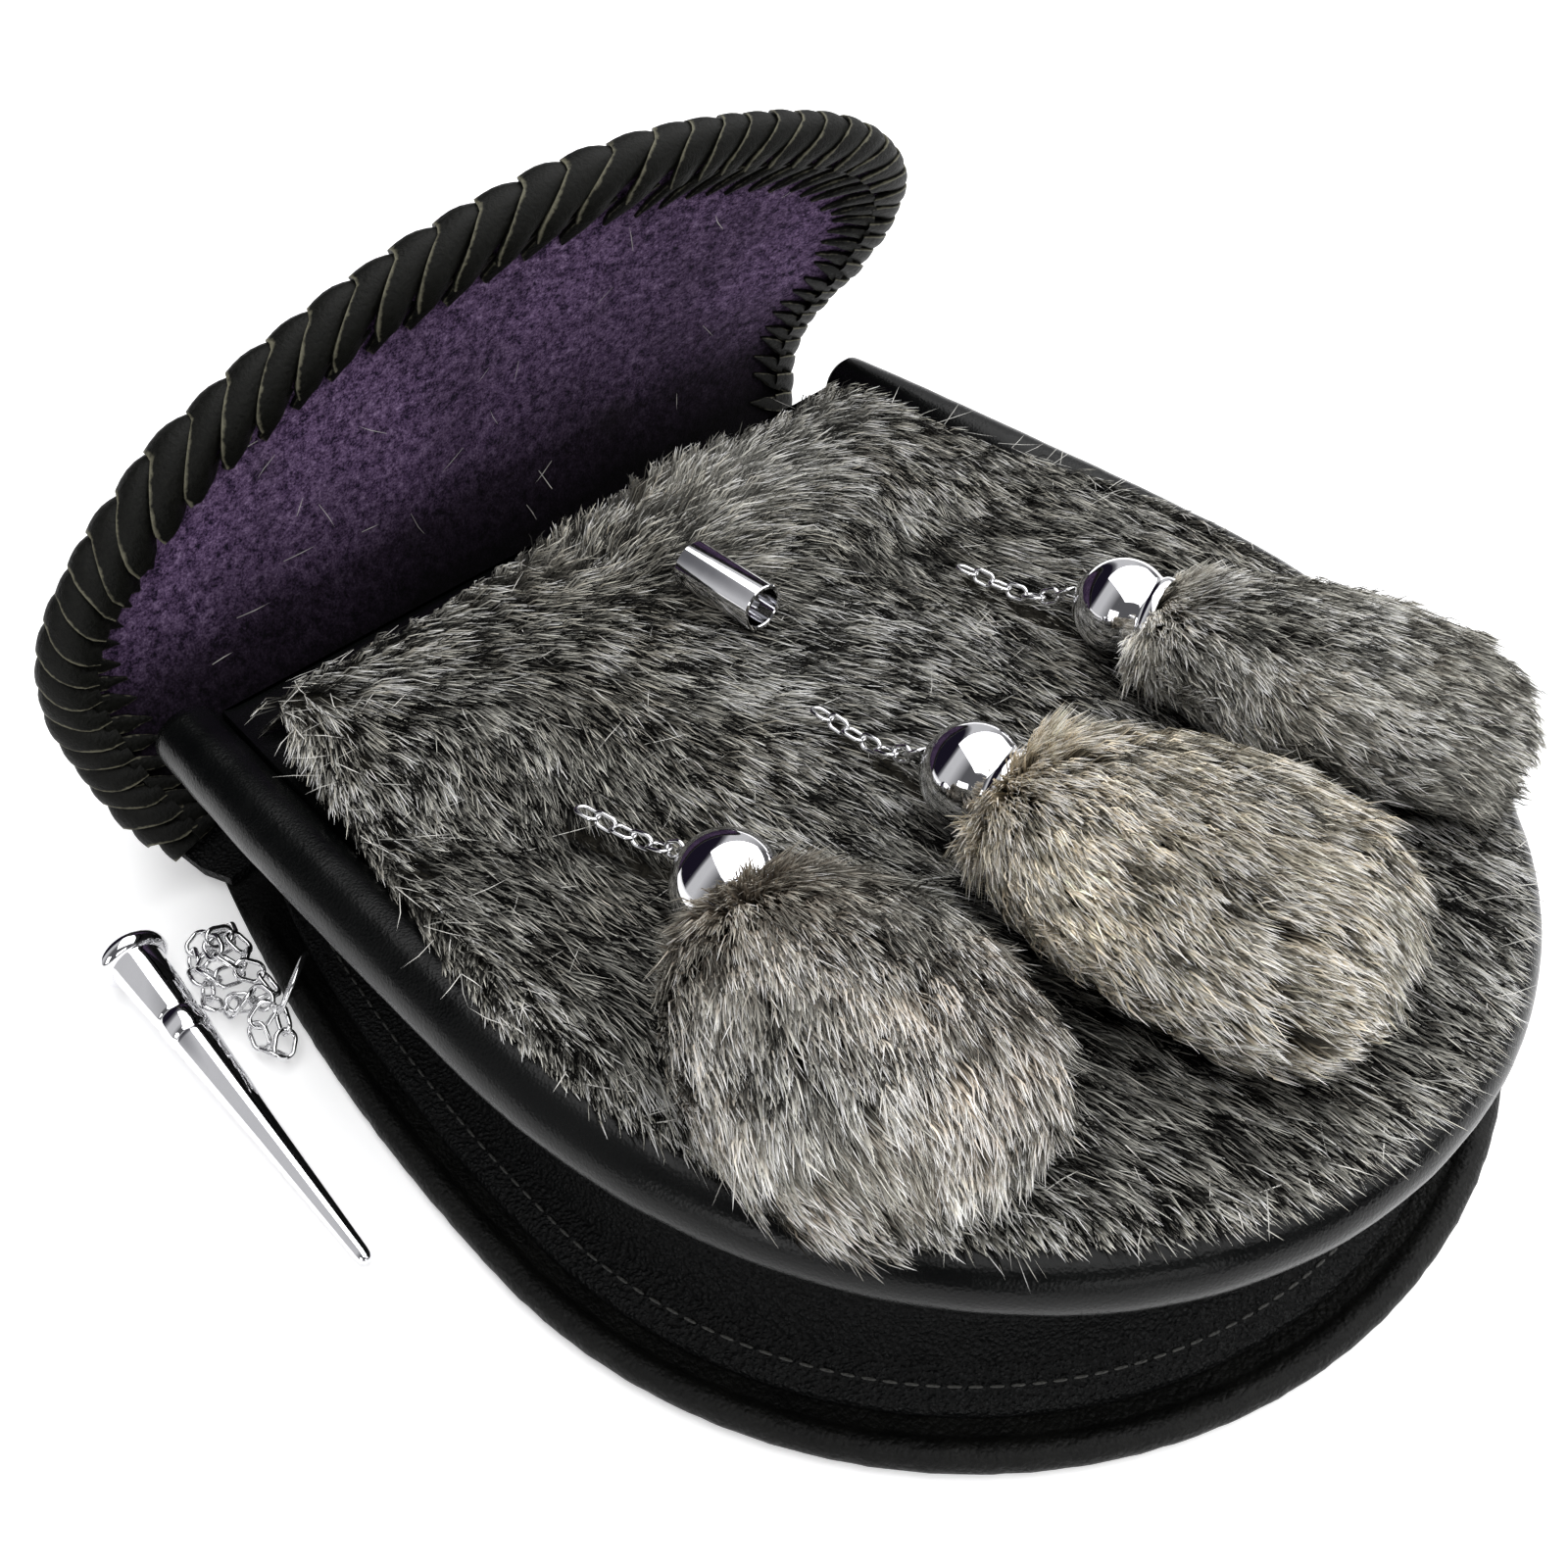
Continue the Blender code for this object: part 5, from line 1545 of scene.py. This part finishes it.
def edge_clumps(line, chance):
    """Three rows of shorter clumps, one above another, that lean out over the pelt's edge."""
    skirt_line = even_steps(np.concatenate([line, line[:1]]), 620)[:-1]
    out = unit(np.roll(skirt_line, -1, axis=0) - np.roll(skirt_line, 1, axis=0))
    out = np.stack([-out[:, 1], out[:, 0]], axis=1)
    middle = skirt_line.mean(axis=0)
    out *= np.sign(((skirt_line - middle) * out).sum(axis=1))[:, None]
    rows = []
    for share in (0.1, 0.45, 0.8):
        spots = skirt_line - out * (1.6 + 1.6 * (1 - share)) * MM
        spots = spots + chance.normal(0, 0.5 * MM, spots.shape)
        on_rim = rim_overlap(spots)
        low_z = np.where(on_rim, RIM_TOP + GAP, FUR_BASE + 0.6 * MM)
        height = low_z + (FUR_TOP - 1.6 * MM - low_z) * share
        main = lie(spots, np.full(len(spots), 20 * MM), out)
        push = unit(main * 0.9 + out * np.where(out[:, 1] < -0.7, 1.0, 0.6)[:, None])
        outward = np.stack([out[:, 0], -out[:, 1], np.full(len(out), 0.35 + share)], axis=1)
        number = len(spots)
        rows.append(
            {
                "root": placed(spots, height),
                "way": unit(np.stack([push[:, 0], -push[:, 1], np.where(on_rim, -0.05, -0.3)], axis=1)),
                "normal": unit(outward),
                "length": chance.uniform(2.8, 4.8, number) * MM * (1 + 0.9 * tuft_share(spots)),
                "lift": chance.uniform(0.5, 1.8, number) * MM * (1 + 2.2 * tuft_share(spots)),
                "shade": patch_shade(spots, chance) * (0.7 + 0.35 * share),
                "brown": np.full(number, 0.2),
                "soft": np.clip(0.4 * tuft_share(spots) - 0.08, 0, 0.4),
            }
        )
    return rows


def tuft_share(flat):
    """How much the hair at each (x, down) stands above the rest."""
    total = np.zeros(len(flat))
    for weight, amount in bells(flat, FUR_TUFTS):
        total += amount * weight
    return total


def under_chains(flat):
    """How close each (x, down) is to a tassel's chain, from 0 to 1, where the hair is pressed down and
    darkened with painted shade.
    """
    total = np.zeros(len(flat))
    for _, x, down, _, _, _, _, _, anchor_x, anchor_down in TASSELS:
        start = np.array((anchor_x, anchor_down - 3 * MM))
        run = np.array((x, down)) - start
        share = np.clip((flat - start) @ run / (run @ run), 0, 1)
        far = np.linalg.norm(flat - start - share[:, None] * run, axis=1)
        total = np.maximum(total, np.exp(-((far / (3.6 * MM)) ** 4)))
    return total


def pelt_height(near):
    """The height of the hair's tips by how far inside the pelt's edge they are."""
    share = np.interp(near / RIM_RADIUS, (0.0, 0.31, 1.25, 3.0), (0.35, 0.65, 0.82, 1.0))
    return RIM_TOP + GAP + FUR_LIP * share


def rim_overlap(flat):
    """Whether each (x, down) is over the rim's roll."""
    line = inset_outline(RIM_OUTLINE, 160, RIM_RADIUS * 0.9)
    near, _ = edge_distance(flat, line)
    return near < 0


def patch_shade(flat, chance):
    spots = placed(flat, 0.0)
    shade = 0.34 * value_noise(spots, 9 * MM, chance) + 0.20 * value_noise(spots, 26 * MM, chance)
    for weight, amount in bells(flat, FUR_TONES_AND_SHADOW):
        shade += amount * weight
    return np.exp(shade)


def build_pelt(hair, hide):
    """The hide under the hair as one closed body, and the hair in three pieces down the front."""
    rings = []
    for inset, height in (
        (1.25 * RIM_RADIUS, FUR_BASE),
        (1.15 * RIM_RADIUS, FUR_BASE + 0.55 * (RIM_TOP - FUR_BASE)),
        (0.85 * RIM_RADIUS, RIM_TOP - 0.2 * MM),
        (0.35 * RIM_RADIUS, RIM_TOP + 0.15 * MM),
        (0.65 * RIM_RADIUS, RIM_TOP + 0.30 * MM),
        (1.6 * RIM_RADIUS, RIM_TOP + 0.3 * MM),
    ):
        line = pelt_outline(inset)
        rings.append(placed(even_steps(np.concatenate([line, line[:1]]), 241)[:-1], height))
    mesh = loft("fur_front_hide", rings)
    add_piece("fur_front_hide", mesh, ["fur_front"], "grey_fur", hide, 60)
    chance = np.random.default_rng(SEED + 5)
    clumps = pelt_clumps(chance)
    from_tube = clumps["root"] - np.array(mouth_point(0.0, TUBE_DOWN + TUBE_LENGTH / 2, 0))
    under_tube = (np.abs(from_tube[:, :2]) < (TUBE_RADIUS, TUBE_LENGTH / 2)).all(axis=1)
    clumps["lift"] *= np.where(under_tube, 0.5, 1.0)
    down = MOUTH_Y - clumps["root"][:, 1]
    edges = np.quantile(down, (0.0, 0.34, 0.66, 1.0))
    for name, low, high in zip(("upper", "middle", "lower"), edges, edges[1:]):
        keep = (down >= low) & ((down < high) | (high == edges[-1]))
        part = {key: value[keep] for key, value in clumps.items()}
        per_clump = min(MOST_PER_CLUMP, PELT_HAIRS // len(part["root"]))
        hairs = grow(part, per_clump, PELT_KINDS, *PELT_TINTS, chance)
        mesh = quad_strips(f"fur_front_{name}", *hairs)
        add_piece(f"fur_front_{name}", mesh, ["fur_front"], "grey_fur", hair)


def tassel_point(part, angle, sizes, shrink=0.0):
    """A point of the tassel's own surface, from its cap's middle, by its length share and angle."""
    wide, thick, length = sizes
    table = np.array(TASSEL_TABLE)
    mouth = 0.85 * CAP_RADIUS
    width = np.interp(part, table[:, 0], table[:, 1]) * wide * TASSEL_HALF - shrink
    height = np.interp(part, table[:, 0], table[:, 2]) * thick * TASSEL_HALF_THICK - shrink
    width, height = np.maximum(width, 0.2 * MM), np.maximum(height, 0.2 * MM)
    rise = (height + shrink) * 1.04 - CAP_RADIUS
    rise = rise * np.clip(part / 0.05, 0.0, 1.0)
    return np.stack(
        [width * np.cos(angle), -(mouth + part * length), height * np.sin(angle) + rise], axis=-1
    )


def build_tassel(side, middle, turn, sizes, hair, hide):
    """A core, near black with painted shade, that reaches into the cap, and the hair on it."""
    chance = np.random.default_rng(SEED + len(side) * 3)
    matrix = np.array(turn.to_matrix())
    offset = np.array(middle)
    angles = np.linspace(0, math.tau, 48, endpoint=False)
    rings = []
    for part in TASSEL_CORE_AT:
        shrink = TASSEL_CORE_IN * min(max(part / 0.12, 0.0), 1.0)
        rings.append(tassel_point(np.full(48, part), angles, sizes, shrink) @ matrix.T + offset)
    mesh = loft(f"tassel_{side}_core", rings)
    add_piece(f"tassel_{side}_core", mesh, [f"tassel_{side}"], SLOTS[side], hide, 60)

    even = np.linspace(0, 1, len(TASSEL_SPREAD))
    part = np.interp(chance.random(TASSEL_TRIES), even, TASSEL_SPREAD)
    angle = chance.uniform(0, math.tau, TASSEL_TRIES)
    spread = tassel_point(part, angle + 0.02, sizes) - tassel_point(part, angle - 0.02, sizes)
    weight = np.linalg.norm(spread, axis=1) * np.where(np.sin(angle) < -0.35, 0.35, 1.0)
    keep = chance.random(TASSEL_TRIES) < weight / np.quantile(weight, 0.97) * 0.62
    part, angle = part[keep][:TASSEL_CLUMPS], angle[keep][:TASSEL_CLUMPS]
    count = len(part)
    step = 0.004
    base = tassel_point(part, angle, sizes, 2.2 * MM)
    ahead = unit(tassel_point(part + step, angle, sizes) - tassel_point(part - step, angle, sizes))
    around = unit(tassel_point(part, angle + step, sizes) - tassel_point(part, angle - step, sizes))
    normal = unit(np.cross(ahead, around))
    normal *= np.sign((normal * (base - tassel_axis(part, sizes))).sum(axis=1))[:, None]
    fan = np.interp(part, (0, 0.2, 0.6, 1.0), (0.45, 0.5, 0.3, 0.12))
    fan = -np.cos(angle) * np.sign(np.sin(angle)) * fan
    ahead = unit(ahead * 0.7 + np.array((0, -1.0, 0)) * 0.5)
    neck = np.exp(-(np.maximum(part, 0.0) / 0.09) ** 2)
    rise = (0.04 + 0.52 * neck)[:, None]
    way = unit(ahead * (1 - rise) + around * fan[:, None] + normal * rise)
    swirl = value_noise(base, 14 * MM, chance) * 0.3
    way = unit(way + np.cross(normal, way) * swirl[:, None])
    shorter = np.interp(part, (0, 0.1, 0.85, 1.0), (0.9, 1.0, 1.0, 0.7))
    root_tint, tip_tint, brown, shade, patch, end_shade = TASSEL_HAIR[side]
    tone = patch * (value_noise(base, 10 * MM, chance) + 0.7 * value_noise(base, 30 * MM, chance))
    clumps = {
        "root": base @ matrix.T + offset,
        "normal": normal @ matrix.T,
        "way": way @ matrix.T,
        "length": chance.uniform(5.5, 8.5, count) * MM * shorter,
        "lift": chance.uniform(1.8, 3.4, count) * MM * (1 + 0.35 * neck),
        "soft": np.clip(0.85 * neck + 0.12 + 0.3 * value_noise(base, 12 * MM, chance), 0, 1),
        "shade": shade * np.exp(tone) * np.interp(part, (0.3, 0.8), (1.0, end_shade)),
        "brown": np.clip(brown + 0.35 * value_noise(base, 16 * MM, chance), 0, 1),
    }
    hairs = grow(
        clumps, TASSEL_PER_CLUMP, TASSEL_KINDS, root_tint, tip_tint, chance, TASSEL_HAIR_WIDTH, 1.1
    )
    mesh = quad_strips(f"tassel_{side}_hair", *hairs)
    add_piece(f"tassel_{side}_hair", mesh, [f"tassel_{side}"], SLOTS[side], hair)


def tassel_axis(part, sizes):
    """The middle of the tassel at each length share."""
    right, left = (tassel_point(part, np.full(len(part), angle), sizes) for angle in (0.0, math.pi))
    return (right + left) / 2


def build_tassels(hair, hide, metal, wire):
    for side, x, down, turn_deg, up_deg, wide, thick, length, anchor_x, anchor_down in TASSELS:
        middle = mouth_point(x, down, CAP_HEIGHT)
        turn = Euler((math.radians(-up_deg), 0, math.radians(turn_deg)))
        way = turn.to_matrix() @ Vector((0, -1, 0))
        build_cap(side, middle, way, metal)
        build_tassel(side, middle, turn, (wide, thick, length), hair, hide)
        apex = middle - way * (CAP_RADIUS + GAP + TASSEL_LINKS[1])
        anchor = mouth_point(anchor_x, anchor_down, CHAIN_HEIGHT)
        low = anchor.lerp(apex, 0.7)
        low.z = CHAIN_HEIGHT + 0.8 * MM
        path = smooth_path([apex, low, anchor])
        build_chain(f"tassel_chain_{side}_steel", f"tassel_chain_{side}", path, TASSEL_LINKS, 20.0, wire)


def build_stray_hairs(hair):
    """Loose guard hairs on the pelt, along its edge, on the rim and on the suede."""
    chance = np.random.default_rng(SEED + 9)
    line = pelt_outline()
    inner = chance.uniform(line.min(axis=0), line.max(axis=0), (STRAY_ON_PELT * 2, 2))
    near, _ = edge_distance(inner, line)
    inner = inner[near > MM][:STRAY_ON_PELT]
    edge = line[chance.integers(0, len(line), STRAY_ON_EDGE)]
    flat = np.concatenate([inner, edge])
    angle = chance.normal(math.radians(10), 0.9, len(flat))
    tilt = chance.uniform(0.02, 0.45, len(flat))
    way = unit(np.stack([np.sin(angle), -np.cos(angle), tilt], axis=1))
    root = placed(flat, FUR_TOP - 0.8 * MM)
    lining_root, lining_way, lining_normal = [], [], []
    for _ in range(STRAY_ON_SUEDE):
        v = chance.uniform(0.18, 0.85) * FLAP_LENGTH
        u = chance.uniform(-0.8, 0.8) * flap_half_width(v)
        normal = flap_normal(u, v)
        turn = chance.uniform(0, math.tau)
        across = unit(flap_middle(u + MM, v) - flap_middle(u, v))
        lining_root.append(flap_middle(u, v) + normal * (LINING_CLEAR + LINING_THICK + 0.5 * MM))
        lining_way.append(across * math.cos(turn) + np.cross(normal, across) * math.sin(turn))
        lining_normal.append(normal)
    root = np.concatenate([root, np.array(lining_root)])
    way = np.concatenate([way, np.array(lining_way)])
    normal = np.concatenate([np.tile((0.0, 0.0, 1.0), (len(flat), 1)), np.array(lining_normal)])
    count = len(root)
    across = unit(np.cross(normal, way))
    length = chance.uniform(4.0, 9.5, count) * MM
    bend = chance.normal(0, 0.12, count)
    spines = np.stack(
        [
            root + way * (length * step)[:, None] + across * (length * bend * step**2)[:, None]
            for step in HAIR_STEPS
        ],
        axis=1,
    )
    widths = np.array((0.9, 1.0, 0.0)) * (chance.uniform(0.11, 0.18, count) * MM)[:, None]
    pale = chance.uniform(0.35, 0.8, count)[:, None, None] * np.array((1.0, 0.98, 0.92))
    colours = pale * np.array((0.6, 0.95, 1.0))[None, :, None]
    mesh = quad_strips("stray_hairs", spines, across, widths, colours)
    add_piece("stray_hairs", mesh, [], "grey_fur", hair)


# Studio

def add_light(name, place, size, power):
    """A soft box aimed at the pouch."""
    lamp = bpy.data.lights.new(name, "AREA")
    lamp.shape = "RECTANGLE"
    lamp.size, lamp.size_y = size
    lamp.energy = power
    obj = bpy.data.objects.new(name, lamp)
    obj.location = place
    obj.rotation_euler = (Vector((0, 0, 0.03)) - Vector(place)).to_track_quat("-Z", "Y").to_euler()
    bpy.context.scene.collection.objects.link(obj)


def build_studio():
    low = -0.02 * MM
    corners = [(x * FLOOR_HALF, y * FLOOR_HALF, low) for x, y in ((-1, -1), (1, -1), (1, 1), (-1, 1))]
    mesh = mesh_of("floor", corners, [(0, 1, 2, 3)])
    floor = bpy.data.objects.new("floor", mesh)
    mesh.materials.append(floor_look())
    bpy.context.scene.collection.objects.link(floor)
    floor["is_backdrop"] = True
    world = bpy.data.worlds.new("studio")
    world.use_nodes = True
    tree = world.node_tree
    toward = tree.nodes.new("ShaderNodeVectorMath")
    toward.operation = "DOT_PRODUCT"
    toward.inputs[1].default_value = DARK_WAY
    tree.links.new(tree.nodes.new("ShaderNodeTexCoord").outputs["Generated"], toward.inputs[0])
    shade = tree.nodes.new("ShaderNodeValToRGB")
    set_ramp(shade, WORLD_SHADES)
    tree.links.new(toward.outputs["Value"], shade.inputs["Fac"])
    tree.links.new(shade.outputs["Color"], tree.nodes["Background"].inputs["Color"])
    tree.nodes["Background"].inputs["Strength"].default_value = WORLD_STRENGTH
    bpy.context.scene.world = world
    for light in SOFT_BOXES:
        add_light(*light)
    bpy.context.scene.view_settings.view_transform = "Standard"


def build_camera():
    data = bpy.data.cameras.new("photo_camera")
    data.sensor_fit = "HORIZONTAL"
    data.sensor_width = 36.0
    data.lens = FOCAL_SHARE * data.sensor_width
    data.clip_start = 0.01
    obj = bpy.data.objects.new("photo_camera", data)
    obj.location = CAMERA_AT
    obj.rotation_euler = (Vector(CAMERA_TO) - Vector(CAMERA_AT)).to_track_quat("-Z", "Y").to_euler()
    bpy.context.scene.collection.objects.link(obj)
    bpy.context.scene.camera = obj


smooth, grained, rolled = smooth_leather(), grained_leather(), edge_leather()
plated = chrome("plated_chrome", (0.82, 0.82, 0.84), 0.035, 0.09)
wire = chrome("chain_steel", (0.76, 0.76, 0.77), 0.06, 0.16)
hair, hide = hair_look("rabbit_hair"), hide_gap_shade_look()
build_camera()
build_studio()
build_back_panel(rolled)
build_gusset(grained)
build_gusset_stitching(thread())
build_front_rim(smooth)
build_front_panel(smooth)
build_flap(grained, suede())
build_lacing(lace_leather())
build_tube(plated)
build_pin(plated)
build_pin_chain(wire)
build_pelt(hair, hide)
build_tassels(hair, hide, plated, wire)
build_stray_hairs(hair)

boxes = {"cad": CAD_BOX, "visual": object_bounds()}
{name: [list(corner) for corner in box] for name, box in boxes.items()}
